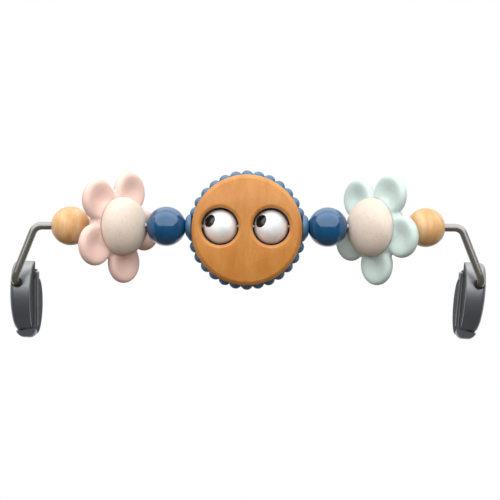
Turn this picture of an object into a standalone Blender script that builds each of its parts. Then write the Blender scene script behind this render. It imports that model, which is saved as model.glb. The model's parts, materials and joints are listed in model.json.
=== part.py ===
"""Toy bar for a baby bouncer: a bent steel rod between two clips, strung with beads, flowers and a wheel.

Metres, +Z up, +X to the right along the bar, -Y towards the child side that the wheel's eyes face.
The origin lies midway between the rail channels of the two clips.
"""

from math import asin, atan2, cos, pi, radians, sin, sqrt

import bmesh
import bpy
from mathutils import Matrix, Vector

# Rod
ROD_RADIUS = 0.0035
BARE_LENGTH = 0.0148
ROD_BEND_RADIUS = 0.0088
LEG_SPREAD = 0.0193
LEG_DROP = 0.0487
LEG_LEAN = 0.0005
ELBOW_RADIUS = 0.0090
TIP_STANDOFF = 0.0100
TIP_DEPTH = 0.0180
TIP_TOE_IN_SHARE = 0.12
TIP_PITCH_SHARE = 0.12

# Clearances
SEAT_GAP = 0.0003
BORE_GAP = 0.0003
OVERRUN = 0.0040

# Beads
BEAD_RADIUS = 0.0171
SIDE_PLAY = 0.0012
BEAD_BORE_CHAMFER = 0.0006
END_PLAY = 0.0011
END_STOP_RADIUS = 0.0050
END_STOP_THICKNESS = 0.0012
END_STOP_RECESS_RADIUS = 0.0054
END_STOP_RECESS_DEPTH = 0.0036

# Wheel
WHEEL_DROP = 0.0030
RING_HALF_WIDTH = 0.0055
RING_BAND_SHARES = (-0.6, 0.6)
SCALLOP_COUNT = 30
SCALLOP_INSET = 0.0016
SCALLOP_RADIUS = 0.0058
BOSS_PROUD = 0.0016
BOSS_RADIUS = 0.0108
BOSS_GAP = 0.0005
DISC_RADIUS = 0.0484
DISC_THICKNESS = 0.0080
DISC_ROUND_OVER = 0.0045
DISC_INNER_ROUND_OVER = 0.0008
EYE_OFFSET = 0.0223
EYES_ASIDE = 0.0011
EYE_RADIUS = 0.0153
EYE_HOLE_RADIUS = 0.0163
EYE_HOLE_ROUND_OVER = 0.0034
FLARE_START = radians(104)
PUPIL_RADIUS = 0.0057
PUPIL_THICKNESS = 0.0020
GAZE = Vector((-0.62, -0.71, 0.33)).normalized()
DOWEL_COUNT = 4
DOWEL_RADIUS = 0.0020
DOWEL_INSET = 0.0054
DOWEL_SEAT = 0.0050

# Flowers
FLOWER_TURN = radians(53)
PETAL_COUNT = 5
PETAL_RADIUS = 0.0177
PETAL_CENTRE_RADIUS = 0.0334
PETAL_RIM_THICKNESS = 0.0085
PETAL_DISH = 0.0026
HUB_RADIUS = 0.0244
HUB_THICKNESS = 0.0090
HUB_SKIRT = 0.0080
DOME_RADIUS = 0.0256
DOME_HEIGHT = 0.0164
DOME_FULLNESS = 2.0
DOME_EDGE = 0.0008
LEFT_PETAL_START = radians(66)
RIGHT_PETAL_START = radians(57)
HUB_SKIRT_SHARE = 0.9
PETAL_FLOOR_SHARES = (0, 0.6)

# Clips, in each clip's own frame: u outwards from the inner face, y to the rear, v up
CLIP_TOP = 0.0352
BODY_BOTTOM = 0.0290
JAW_BOTTOM = 0.0352
CLIP_HALF_DEPTH = 0.0190
CLIP_THICKNESS = 0.0188
CLIP_WIDEST_ABOVE = 0.0230
CLIP_TAPER_RADIUS = 0.5500
CLIP_OUTER_ROUND = 0.0050
CLIP_INNER_ROUND = 0.0006
CLIP_TILT = radians(8.5)
CLIP_TURN = radians(2.7)
CLIP_TOE = radians(0.7)
CLIP_LEAN = radians(1)
HOLE_U = 0.0119
HOLE_V = 0.0187
HOLE_EXTRA_DEPTH = 0.0015
COLLAR_RADIUS = 0.0049
COLLAR_LENGTH = 0.0016
COLLAR_STANDOFF = 0.0012
SPLIT_HEIGHT = 0.0239
SPLIT_SLOPE_SHARE = 0.266
SPLIT_GAP = 0.0011
CHANNEL_DEPTH = 0.0080
CHANNEL_WIDTH = 0.0090
CHANNEL_SETBACK = 0.0090
CHANNEL_FLOOR = 0.0140
JAW_THICKNESS = 0.0036
JAW_STEP = 0.0005
JAW_TOP = 0.0200
PLATE_BOTTOM = 0.0315
LIP_TOP = 0.0265
LIP_DEPTH = 0.0045
JAW_EDGE_ROUND = 0.0010
FOOT_OUTER_ROUND = 0.0085
FOOT_INNER_ROUND = 0.0075
FOOT_FRONT = 0.0080
PIVOT_U = 0.0114
PIVOT_DROP = 0.0298
KNUCKLE_RADIUS = 0.0026
LUG_FRONT = 0.0045
LUG_WIDTH = 0.0050
LUG_SWING_ROOM = 0.0005
PIN_RADIUS = 0.0012
PIN_FRONT = 0.0070
PIN_LENGTH = 0.0150
SPRING_WIRE_RADIUS = 0.00030
SPRING_COIL_RADIUS = 0.0020
SPRING_TURNS = 3
SPRING_PITCH = 0.00110

# Facet counts
ROD_SIDE_STEPS = 4
BEND_STEPS = 5
BALL_STEPS = 18
BALL_PROFILE_STEPS = 7
DISC_STEPS = 28
HUB_STEPS = 16
FLARE_STEPS = 2
ROUND_OVER_STEPS = 3
SCALLOP_STEPS = 4
PETAL_STEPS = 12
DOME_STEPS = 16
PETAL_RIM_STEPS = 4
PUPIL_STEPS = 14
SPRING_STEPS = 10
DOME_PROFILE_STEPS = 6
CLIP_STEPS = 32
DOME_WALK_STEPS = 40
SMALL_STEPS = 10

LEFT = -1
RIGHT = 1
SIDE_NAMES = {LEFT: "left", RIGHT: "right"}

# Colours as linear RGB, with roughness and metallic
FINISHES = {
    "rod_steel": ((0.21, 0.18, 0.15), 0.40, 0.6),
    "clip_plastic": ((0.10, 0.12, 0.15), 0.38, 0.0),
    "amber_wood": ((0.72, 0.45, 0.20), 0.45, 0.0),
    "orange_wood": ((0.61, 0.29, 0.08), 0.45, 0.0),
    "pale_wood": ((0.83, 0.75, 0.64), 0.65, 0.0),
    "ring_blue": ((0.06, 0.17, 0.34), 0.45, 0.0),
    "gloss_blue": ((0.01, 0.08, 0.22), 0.15, 0.0),
    "petal_pink": ((0.85, 0.58, 0.50), 0.70, 0.0),
    "petal_mint": ((0.56, 0.76, 0.70), 0.70, 0.0),
    "eye_white": ((0.90, 0.90, 0.90), 0.25, 0.0),
    "pupil_black": ((0.01, 0.01, 0.01), 0.12, 0.0),
    "plain_steel": ((0.45, 0.45, 0.46), 0.35, 1.0),
}


def clear_scene():
    for obj in list(bpy.data.objects):
        bpy.data.objects.remove(obj)


def collection(name):
    made = bpy.data.collections.new(name)
    bpy.context.scene.collection.children.link(made)
    return made


def finish(name):
    found = bpy.data.materials.get(name)
    if found:
        return found
    colour, roughness, metallic = FINISHES[name]
    made = bpy.data.materials.new(name)
    made.use_nodes = True
    shader = made.node_tree.nodes["Principled BSDF"]
    shader.inputs["Base Color"].default_value = (*colour, 1.0)
    shader.inputs["Roughness"].default_value = roughness
    shader.inputs["Metallic"].default_value = metallic
    return made


def object_from(name, mesh, finish_name, parent=None):
    """A named part. A part with a parent keeps its mesh in the parent's own coordinates."""
    obj = bpy.data.objects.new(name, mesh)
    obj.parent = parent
    if finish_name:
        mesh.materials.clear()
        mesh.materials.append(finish(finish_name))
        PARTS.objects.link(obj)
    else:
        obj.hide_render = True
        obj.display_type = "WIRE"
        CUTTERS.objects.link(obj)
    return obj


def mesh_from(name, shape):
    """Closes a bmesh into a mesh with outward faces, shaded smooth with sharp corners kept."""
    bmesh.ops.recalc_face_normals(shape, faces=shape.faces)
    mesh = bpy.data.meshes.new(name)
    shape.to_mesh(mesh)
    shape.free()
    mesh.shade_smooth()
    mesh.set_sharp_from_angle(angle=radians(40))
    return mesh


def empty(name, matrix, parent=None):
    """A joint's frame, on the joint's axis."""
    made = bpy.data.objects.new(name, None)
    PARTS.objects.link(made)
    made.parent = parent
    made.matrix_local = matrix
    return made


def bake(obj):
    """The object's mesh with its modifiers applied, in its own coordinates. The object is removed."""
    bpy.context.view_layer.update()
    graph = bpy.context.evaluated_depsgraph_get()
    mesh = bpy.data.meshes.new_from_object(obj.evaluated_get(graph))
    bpy.data.objects.remove(obj)
    return mesh


def turned_mesh(name, profile, steps, direction=Vector((0, 0, 1)), origin=Vector((0, 0, 0))):
    """A closed profile of (radius, height) turned once round the axis through origin along direction.

    The profile runs down its outer side first, and its last point joins the first.
    """
    mesh = bpy.data.meshes.new(name)
    corners = [(radius, 0, height) for radius, height in profile]
    edges = [(i, (i + 1) % len(corners)) for i in range(len(corners))]
    mesh.from_pydata(corners, edges, [])
    guide = bpy.data.objects.new(name, mesh)
    bpy.context.scene.collection.objects.link(guide)
    screw = guide.modifiers.new("turn", "SCREW")
    screw.steps = steps
    screw.render_steps = steps
    screw.use_merge_vertices = True
    screw.merge_threshold = MERGE
    screw.use_smooth_shade = True
    made = bake(guide)
    shape = bmesh.new()
    shape.from_mesh(made)
    bmesh.ops.remove_doubles(shape, verts=shape.verts, dist=MERGE)
    turn = direction.to_track_quat("Z", "Y").to_matrix().to_4x4()
    bmesh.ops.transform(shape, verts=shape.verts, matrix=Matrix.Translation(origin) @ turn)
    return mesh_from(name, shape)


def rod_mesh(name, start, end, radius, steps):
    """A plain cylinder between two points."""
    shape = bmesh.new()
    span = end - start
    turn = span.to_track_quat("Z", "Y").to_matrix().to_4x4()
    place = Matrix.Translation((start + end) / 2) @ turn
    bmesh.ops.create_cone(
        shape, cap_ends=True, segments=steps, radius1=radius, radius2=radius, depth=span.length, matrix=place
    )
    return mesh_from(name, shape)


def box_mesh(name, low, high, round_edges=0.0):
    """A box between two corners, with its edges rounded where asked."""
    shape = bmesh.new()
    bmesh.ops.create_cube(shape, size=1)
    size = high - low
    bmesh.ops.transform(
        shape,
        verts=shape.verts,
        matrix=Matrix.Translation((low + high) / 2) @ Matrix.Diagonal((size.x, size.y, size.z, 1)),
    )
    if round_edges:
        bmesh.ops.bevel(
            shape, geom=shape.edges, offset=round_edges, segments=2, profile=0.5, affect="EDGES"
        )
    return mesh_from(name, shape)


def boolean(obj, cutter, operation="DIFFERENCE"):
    step = obj.modifiers.new(cutter.name, "BOOLEAN")
    step.operation = operation
    step.solver = "EXACT"
    step.object = cutter


def cut(obj, name, mesh, parent=None):
    boolean(obj, object_from(name, mesh, None, parent))


def join(obj, name, mesh, parent=None):
    boolean(obj, object_from(name, mesh, None, parent), "UNION")


def arc(centre, radius, start, end, steps):
    """Points on an arc of (radius, height), from the start angle to the end one."""
    angles = [start + (end - start) * i / steps for i in range(steps + 1)]
    return [(centre[0] + radius * cos(a), centre[1] + radius * sin(a)) for a in angles]


def ball_profile(radius, bore):
    """A ball with a bore along its axis and a small chamfer at each mouth."""
    reach = asin(bore_mouth(bore) / radius)
    points = arc((0, 0), radius, pi / 2 - reach, reach - pi / 2, BALL_PROFILE_STEPS)
    half = points[0][1]
    points.append((bore, -half + BEAD_BORE_CHAMFER))
    points.append((bore, half - BEAD_BORE_CHAMFER))
    return points


def bore_mouth(bore):
    return bore + BEAD_BORE_CHAMFER


def half_on_axis(radius):
    """Half the length that a bored ball takes up on the rod."""
    return sqrt(radius**2 - bore_mouth(ROD_BORE) ** 2)


def dome_height(radius):
    """Height of a dome over the middle of the flower, at a radius from its own axis."""
    swell = max(0, 1 - (radius / DOME_RADIUS) ** DOME_FULLNESS) ** (1 / DOME_FULLNESS)
    return HUB_THICKNESS / 2 + SEAT_GAP + DOME_EDGE + (DOME_HEIGHT - DOME_EDGE) * swell


def flower_spacing():
    """Distance from a blue bead's centre to the flower's, with the bead just clear of the turned dome.

    Walks over the dome in the level plane of the rod and keeps the largest distance that any point asks for.
    """
    clear = BEAD_RADIUS + SIDE_PLAY
    needed = BEAD_HALF
    for i in range(DOME_WALK_STEPS + 1):
        across = DOME_RADIUS * i / DOME_WALK_STEPS
        up = dome_height(across)
        along = up * sin(FLOWER_TURN) + across * cos(FLOWER_TURN)
        aside = up * cos(FLOWER_TURN) - across * sin(FLOWER_TURN)
        if abs(aside) < clear:
            needed = max(needed, along + sqrt(clear**2 - aside**2))
    return needed


def fillet(before, corner, after, radius):
    """Points on the arc that rounds a corner of the rod's centre line."""
    to_before = (before - corner).normalized()
    to_after = (after - corner).normalized()
    half_angle = to_before.angle(to_after) / 2
    middle = (to_before + to_after).normalized()
    centre = corner + middle * radius / sin(half_angle)
    start = corner + to_before * radius / (sin(half_angle) / cos(half_angle)) - centre
    end = corner + to_after * radius / (sin(half_angle) / cos(half_angle)) - centre
    whole = start.angle(end)
    shares = [i / BEND_STEPS for i in range(BEND_STEPS + 1)]
    return [
        centre + (start * sin((1 - share) * whole) + end * sin(share * whole)) / sin(whole) for share in shares
    ]


# Worked out from the sizes above
MERGE = 1e-5
ROD_BORE = ROD_RADIUS + BORE_GAP
BEAD_HALF = half_on_axis(BEAD_RADIUS)
SCALLOP_CENTRE_RADIUS = DISC_RADIUS - SCALLOP_INSET
DOWEL_CIRCLE_RADIUS = DISC_RADIUS - DOWEL_INSET
BOSS_REACH = SCALLOP_CENTRE_RADIUS + SCALLOP_RADIUS + BOSS_PROUD
BLUE_BEAD_OFFSET = BOSS_REACH + SEAT_GAP + BEAD_HALF
FLOWER_OFFSET = BLUE_BEAD_OFFSET + flower_spacing()
END_BEAD_OFFSET = FLOWER_OFFSET + flower_spacing() + END_PLAY
ROD_HALF_SPAN = END_BEAD_OFFSET + BEAD_HALF + BARE_LENGTH
DISC_BACK = RING_HALF_WIDTH + SEAT_GAP
DISC_FACE = DISC_BACK + DISC_THICKNESS
BODY_CENTRE = (CLIP_TOP - BODY_BOTTOM) / 2
BODY_HALF_HEIGHT = (CLIP_TOP + BODY_BOTTOM) / 2
HOLE_Y = -CLIP_HALF_DEPTH * sqrt(1 - ((HOLE_V - BODY_CENTRE) / BODY_HALF_HEIGHT) ** 2)
SPLIT_V = -SPLIT_HEIGHT
PIVOT_V = -PIVOT_DROP


def tip_direction(side):
    """The way the rod's tip points as it enters the clip: to the rear, a little down and inwards."""
    return Vector((-side * TIP_TOE_IN_SHARE, 1, -TIP_PITCH_SHARE)).normalized()


def elbow(side):
    return Vector((side * (ROD_HALF_SPAN + LEG_SPREAD), LEG_LEAN, -LEG_DROP))


def hole_point(side):
    """Where the rod's centre line enters the clip's rim."""
    return elbow(side) + tip_direction(side) * TIP_STANDOFF


def clip_lie(side):
    """How a clip lies when both hang alike: tilted back at the foot and toed in at the rear."""
    lean = Matrix.Rotation(side * CLIP_LEAN, 4, "Y")
    return lean @ Matrix.Rotation(CLIP_TILT, 4, "X") @ Matrix.Rotation(side * CLIP_TOE, 4, "Z")


def clip_turn(side):
    """The clip's own axes: tilted back at the foot, and swung round the rod's tip as photographed."""
    swing = Matrix.Rotation(CLIP_TURN, 4, tip_direction(side))
    return swing @ clip_lie(side)


def clip_point(side, u, y, v):
    """A point given in the clip's own sizes, in the coordinates of the clip's pivot empty."""
    return Vector((side * (u - HOLE_U), y - HOLE_Y, v - HOLE_V))


def channel_centre(side):
    """Middle of the rail channel, before the clip is swung round the rod's tip."""
    local = clip_point(side, CHANNEL_DEPTH / 2, CHANNEL_SETBACK, 0)
    return hole_point(side) + clip_lie(side).to_3x3() @ local


BAR_CENTRE = Vector((0, -channel_centre(RIGHT).y, -channel_centre(RIGHT).z))


def build_rod():
    corners = [hole_point(LEFT) + tip_direction(LEFT) * TIP_DEPTH]
    corners.append(elbow(LEFT))
    corners.append(Vector((-ROD_HALF_SPAN, 0, 0)))
    corners.append(Vector((ROD_HALF_SPAN, 0, 0)))
    corners.append(elbow(RIGHT))
    corners.append(hole_point(RIGHT) + tip_direction(RIGHT) * TIP_DEPTH)
    radii = [ELBOW_RADIUS, ROD_BEND_RADIUS, ROD_BEND_RADIUS, ELBOW_RADIUS]
    route = [corners[0]]
    for i, radius in enumerate(radii):
        route.extend(fillet(corners[i], corners[i + 1], corners[i + 2], radius))
    route.append(corners[-1])
    curve = bpy.data.curves.new("bent_rod", "CURVE")
    curve.dimensions = "3D"
    curve.bevel_depth = ROD_RADIUS
    curve.bevel_resolution = ROD_SIDE_STEPS
    curve.use_fill_caps = True
    spline = curve.splines.new("POLY")
    spline.points.add(len(route) - 1)
    for point, place in zip(spline.points, route):
        point.co = (*place, 1)
    curve.materials.append(finish("rod_steel"))
    rod = bpy.data.objects.new("bent_rod", curve)
    rod.parent = BAR
    PARTS.objects.link(rod)


def on_rod(name, x):
    """The frame of a piece that turns on the rod, at a distance from the bar's middle."""
    return empty(name, Matrix.Translation((x, 0, 0)), BAR)


def build_end_bead(side):
    name = SIDE_NAMES[side] + "_end_bead"
    along = Vector((side, 0, 0))
    pivot = on_rod(name + "_axis", side * END_BEAD_OFFSET)
    ball = turned_mesh(name, ball_profile(BEAD_RADIUS, ROD_BORE), BALL_STEPS, along)
    bead = object_from(name, ball, "amber_wood", pivot)
    outer = sqrt(BEAD_RADIUS**2 - END_STOP_RECESS_RADIUS**2)
    floor = outer - END_STOP_RECESS_DEPTH
    recess = rod_mesh(
        name + "_recess_cut", along * floor, along * (outer + OVERRUN), END_STOP_RECESS_RADIUS, SMALL_STEPS
    )
    cut(bead, name + "_recess_cut", recess, pivot)


def build_end_stop(side):
    """A retaining ring on the rod, hidden in the end bead's recess."""
    name = SIDE_NAMES[side] + "_end_stop"
    floor = sqrt(BEAD_RADIUS**2 - END_STOP_RECESS_RADIUS**2) - END_STOP_RECESS_DEPTH
    near = END_BEAD_OFFSET + floor + SEAT_GAP
    ring = [(END_STOP_RADIUS, near + END_STOP_THICKNESS)]
    ring.append((END_STOP_RADIUS, near))
    ring.append((ROD_BORE, near))
    ring.append((ROD_BORE, near + END_STOP_THICKNESS))
    object_from(name, turned_mesh(name, ring, SMALL_STEPS, Vector((side, 0, 0))), "plain_steel", BAR)


def build_blue_bead(side):
    """A plain ball. The balls, flowers and wheel between the end beads have slid over to the left."""
    name = SIDE_NAMES[side] + "_blue_bead"
    pivot = on_rod(name + "_axis", side * BLUE_BEAD_OFFSET - END_PLAY)
    ball = turned_mesh(name, ball_profile(BEAD_RADIUS, ROD_BORE), BALL_STEPS, Vector((1, 0, 0)))
    object_from(name, ball, "gloss_blue", pivot)


def dome_profile():
    """Half of a squarish ellipse, above a short straight edge."""
    base = HUB_THICKNESS / 2 + SEAT_GAP
    steps = DOME_PROFILE_STEPS
    points = []
    for i in range(steps + 1):
        angle = pi / 2 * i / steps
        radius = DOME_RADIUS * sin(angle) ** (2 / DOME_FULLNESS)
        height = (DOME_HEIGHT - DOME_EDGE) * cos(angle) ** (2 / DOME_FULLNESS)
        points.append((radius, base + DOME_EDGE + height))
    points.append((DOME_RADIUS - DOME_EDGE, base))
    points.append((0, base))
    return points


def petal_profile():
    """A round dish on both faces, with a thick rounded rim."""
    rim = PETAL_RIM_THICKNESS / 2
    dish = rim - PETAL_DISH
    crest = PETAL_RADIUS - rim
    upper = []
    for share in PETAL_FLOOR_SHARES:
        height = dish + (rim - dish) * (1 - cos(pi * share)) / 2
        upper.append((crest * share, height))
    upper.extend(arc((crest, 0), rim, pi / 2, -pi / 2, PETAL_RIM_STEPS))
    lower = [(radius, -height) for radius, height in reversed(upper[: len(PETAL_FLOOR_SHARES)])]
    return upper + lower


def hub_profile():
    """The middle of the petal moulding, which thins out under the petals' dishes."""
    top = HUB_THICKNESS / 2
    thin = PETAL_RIM_THICKNESS / 2 - PETAL_DISH
    outer = HUB_RADIUS + HUB_SKIRT
    return [
        (0, top),
        (HUB_RADIUS, top),
        ((HUB_RADIUS + outer) / 2, (top + thin) / 2 * HUB_SKIRT_SHARE),
        (outer, thin * HUB_SKIRT_SHARE),
        (outer, -thin * HUB_SKIRT_SHARE),
        ((HUB_RADIUS + outer) / 2, -(top + thin) / 2 * HUB_SKIRT_SHARE),
        (HUB_RADIUS, -top),
        (0, -top),
    ]


def build_flower(side, petal_finish, petal_start):
    name = SIDE_NAMES[side] + "_flower"
    spin = on_rod(name + "_axis", side * FLOWER_OFFSET - END_PLAY)
    facing = Vector((-side * sin(FLOWER_TURN), -cos(FLOWER_TURN), 0))
    across = Vector((0, 0, 1)).cross(facing)
    bore_reach = DOME_RADIUS + DOME_HEIGHT + HUB_THICKNESS
    bore_start = Vector((-bore_reach, 0, 0))
    bore_end = Vector((bore_reach, 0, 0))
    bore = rod_mesh(name + "_bore_cut", bore_start, bore_end, ROD_BORE, SMALL_STEPS)
    cutter = object_from(name + "_bore_cut", bore, None, spin)
    petals_name = name + "_petals"
    petals = object_from(petals_name, turned_mesh(petals_name, hub_profile(), HUB_STEPS, facing), petal_finish, spin)
    for i in range(PETAL_COUNT):
        angle = petal_start + 2 * pi * i / PETAL_COUNT
        centre = (across * cos(angle) + Vector((0, 0, sin(angle)))) * PETAL_CENTRE_RADIUS
        petal_name = f"{name}_petal_{i + 1}"
        join(petals, petal_name, turned_mesh(petal_name, petal_profile(), PETAL_STEPS, facing, centre), spin)
    boolean(petals, cutter)
    for place, way in (("front", facing), ("back", -facing)):
        dome_name = f"{name}_{place}_dome"
        dome = object_from(dome_name, turned_mesh(dome_name, dome_profile(), DOME_STEPS, way), "pale_wood", spin)
        boolean(dome, cutter)


def ring_radius(angle, y):
    """Outline of the scalloped ring: the outer envelope of a circle of balls, over a plain core."""
    step = 2 * pi / SCALLOP_COUNT
    off = angle - step * round(angle / step)
    along = SCALLOP_CENTRE_RADIUS * cos(off)
    left_over = SCALLOP_RADIUS**2 - y**2 - (SCALLOP_CENTRE_RADIUS * sin(off)) ** 2
    core = DISC_RADIUS
    return max(core, along + sqrt(max(left_over, 0)))


def ring_mesh():
    """A cylinder along Y, cut into bands, whose rim is moved out to the scallops."""
    shape = bmesh.new()
    turn = Matrix.Rotation(pi / 2, 4, "X")
    bmesh.ops.create_cone(
        shape,
        cap_ends=True,
        segments=SCALLOP_COUNT * SCALLOP_STEPS,
        radius1=DISC_RADIUS,
        radius2=DISC_RADIUS,
        depth=2 * RING_HALF_WIDTH,
        matrix=turn,
    )
    for share in RING_BAND_SHARES:
        everything = shape.verts[:] + shape.edges[:] + shape.faces[:]
        bmesh.ops.bisect_plane(
            shape, geom=everything, plane_co=(0, share * RING_HALF_WIDTH, 0), plane_no=(0, 1, 0)
        )
    for vert in shape.verts:
        angle = atan2(vert.co.x, vert.co.z)
        radius = ring_radius(angle, vert.co.y)
        vert.co.x = radius * sin(angle)
        vert.co.z = radius * cos(angle)
    bmesh.ops.translate(shape, verts=shape.verts, vec=(0, 0, -WHEEL_DROP))
    return mesh_from("scalloped_ring", shape)


def boss_profile():
    """A shallow button, from beside the wooden disc out to the blue bead."""
    inner = DISC_RADIUS + BOSS_GAP
    depth = BOSS_REACH - inner
    mouth = bore_mouth(ROD_BORE) + BEAD_BORE_CHAMFER
    points = []
    steps = 6
    for i in range(steps + 1):
        share = i / steps
        radius = mouth + (BOSS_RADIUS - mouth) * sin(pi / 2 * share)
        points.append((radius, inner + depth * cos(pi / 2 * share) ** 0.8))
    points.append((RING_HALF_WIDTH - SEAT_GAP, inner))
    points.append((RING_HALF_WIDTH - SEAT_GAP, inner - 2 * SCALLOP_RADIUS))
    points.append((0, inner - 2 * SCALLOP_RADIUS))
    points.append((0, BOSS_REACH))
    return points


def eye_hole_profile(face):
    """A cutter for an eye hole: straight through, then flared out to the face."""
    outer = EYE_HOLE_RADIUS + EYE_HOLE_ROUND_OVER
    flare = arc((outer, face - EYE_HOLE_ROUND_OVER), EYE_HOLE_ROUND_OVER, FLARE_START, pi, FLARE_STEPS)
    outline = [(0, face + OVERRUN), (flare[0][0], face + OVERRUN)]
    outline.extend(flare)
    outline.append((EYE_HOLE_RADIUS, -face - OVERRUN))
    outline.append((0, -face - OVERRUN))
    return outline


def disc_profile():
    """A wooden disc, its outer face's edge well rounded over."""
    face = DISC_FACE
    points = [(0, face)]
    centre = (DISC_RADIUS - DISC_ROUND_OVER, face - DISC_ROUND_OVER)
    points.extend(arc(centre, DISC_ROUND_OVER, pi / 2, 0, ROUND_OVER_STEPS))
    points.append((DISC_RADIUS, DISC_BACK + DISC_INNER_ROUND_OVER))
    points.append((DISC_RADIUS - DISC_INNER_ROUND_OVER, DISC_BACK))
    points.append((0, DISC_BACK))
    return points


def eye_places():
    return {side: Vector((side * EYE_OFFSET - EYES_ASIDE, 0, 0)) for side in (LEFT, RIGHT)}


def dowel_place(i):
    angle = pi / DOWEL_COUNT + 2 * pi * i / DOWEL_COUNT
    return Vector((DOWEL_CIRCLE_RADIUS * sin(angle), 0, DOWEL_CIRCLE_RADIUS * cos(angle) - WHEEL_DROP))


def build_wheel():
    spin = on_rod("wheel_axis", -END_PLAY)
    centre = Vector((0, 0, -WHEEL_DROP))
    reach = Vector((0, DISC_BACK + DOWEL_SEAT, 0))
    room = Vector((0, DISC_BACK + DOWEL_SEAT + SEAT_GAP, 0))
    holes = []
    for i in range(DOWEL_COUNT):
        place = dowel_place(i)
        name = f"wheel_dowel_{i + 1}"
        dowel = rod_mesh(name, place - reach, place + reach, DOWEL_RADIUS, SMALL_STEPS)
        object_from(name, dowel, "pale_wood", spin)
        hole = rod_mesh(name + "_hole_cut", place - room, place + room, DOWEL_RADIUS + BORE_GAP, SMALL_STEPS)
        holes.append(object_from(name + "_hole_cut", hole, None, spin))
    ring = object_from("scalloped_ring", ring_mesh(), "ring_blue", spin)
    for side in (LEFT, RIGHT):
        along = Vector((side, 0, 0))
        boss_name = SIDE_NAMES[side] + "_boss"
        join(ring, boss_name, turned_mesh(boss_name, boss_profile(), BALL_STEPS, along), spin)
    for side, place in eye_places().items():
        window_name = SIDE_NAMES[side] + "_window_cut"
        half = Vector((0, RING_HALF_WIDTH + OVERRUN, 0))
        window = rod_mesh(window_name, place - half, place + half, EYE_RADIUS + SEAT_GAP, BALL_STEPS)
        cut(ring, window_name, window, spin)
    half = Vector((BOSS_REACH + OVERRUN, 0, 0))
    cut(ring, "ring_bore_cut", rod_mesh("ring_bore_cut", -half, half, ROD_BORE, SMALL_STEPS), spin)
    for hole in holes:
        boolean(ring, hole)
    for place, way in (("front", Vector((0, -1, 0))), ("back", Vector((0, 1, 0)))):
        name = f"wheel_{place}_disc"
        mesh = turned_mesh(name, disc_profile(), DISC_STEPS, way, centre)
        disc = object_from(name, mesh, "orange_wood", spin)
        for side, eye in eye_places().items():
            cutter_name = f"{name}_{SIDE_NAMES[side]}_eye_cut"
            hole = turned_mesh(cutter_name, eye_hole_profile(DISC_FACE), BALL_STEPS, way, eye)
            cut(disc, cutter_name, hole, spin)
        for hole in holes:
            boolean(disc, hole)


def build_eye(side):
    name = SIDE_NAMES[side] + "_eyeball"
    pivot = on_rod(name + "_axis", side * EYE_OFFSET - EYES_ASIDE - END_PLAY)
    ball = turned_mesh(name, ball_profile(EYE_RADIUS, ROD_BORE), BALL_STEPS, Vector((1, 0, 0)))
    eyeball = object_from(name, ball, "eye_white", pivot)
    floor = sqrt(EYE_RADIUS**2 - PUPIL_RADIUS**2) - PUPIL_THICKNESS
    recess = rod_mesh(
        name + "_recess_cut",
        GAZE * (floor - SEAT_GAP),
        GAZE * (EYE_RADIUS + OVERRUN),
        PUPIL_RADIUS + SEAT_GAP,
        PUPIL_STEPS,
    )
    cut(eyeball, name + "_recess_cut", recess, pivot)
    reach = asin(PUPIL_RADIUS / EYE_RADIUS)
    lens = arc((0, 0), EYE_RADIUS, pi / 2, pi / 2 - reach, 4)
    lens.append((PUPIL_RADIUS, floor))
    lens.append((0, floor))
    pupil_name = SIDE_NAMES[side] + "_pupil"
    object_from(pupil_name, turned_mesh(pupil_name, lens, PUPIL_STEPS, GAZE), "pupil_black", pivot)


def clip_thickness(v):
    """Thickness of the clip's outline at a height: full near the top, thinner towards the foot."""
    return CLIP_THICKNESS - (v - CLIP_WIDEST_ABOVE) ** 2 / (2 * CLIP_TAPER_RADIUS)


def oval_shape(side, near, far, top, bottom, outer_round, inner_round, tapered):
    """An upright oval slab from u = near to u = far, its rims rounded, its outer face tapered where asked.

    A rim that is only broken takes one facet.
    """
    half_height = (top + bottom) / 2
    shape = bmesh.new()
    bmesh.ops.create_cone(
        shape, cap_ends=True, segments=CLIP_STEPS, radius1=1, radius2=1, depth=1, matrix=Matrix.Rotation(pi / 2, 4, "Y")
    )
    for vert in shape.verts:
        vert.co.x = near + (far - near) * (vert.co.x + 0.5)
        vert.co.y *= CLIP_HALF_DEPTH
        vert.co.z = top - half_height + vert.co.z * half_height
    middle = (near + far) / 2
    for wanted, width in ((1, outer_round), (-1, inner_round)):
        if not width:
            continue
        segments = ROUND_OVER_STEPS if width > JAW_EDGE_ROUND else 1
        rim = [
            edge
            for edge in shape.edges
            if all((vert.co.x - middle) * wanted > 0 for vert in edge.verts)
            and any(len(face.verts) > 4 for face in edge.link_faces)
        ]
        bmesh.ops.bevel(shape, geom=rim, offset=width, segments=segments, profile=0.5, affect="EDGES")
    for vert in shape.verts:
        if tapered and vert.co.x > 0:
            vert.co.x *= clip_thickness(vert.co.z) / CLIP_THICKNESS
        vert.co = clip_point(side, vert.co.x, vert.co.y, vert.co.z)
    return shape


def keep_below(shape, point, normal):
    """Cuts a shape on a plane, drops what lies on the normal's side and closes the cut."""
    everything = shape.verts[:] + shape.edges[:] + shape.faces[:]
    cut_edges = bmesh.ops.bisect_plane(
        shape, geom=everything, plane_co=point, plane_no=normal, clear_outer=True
    )["geom_cut"]
    rim = [item for item in cut_edges if isinstance(item, bmesh.types.BMEdge)]
    bmesh.ops.holes_fill(shape, edges=rim, sides=0)


def split_normal(side):
    """Upward normal of the sloped plane between a clip's body and its jaw's foot."""
    return Vector((side * SPLIT_SLOPE_SHARE, 0, 1)).normalized()


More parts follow.
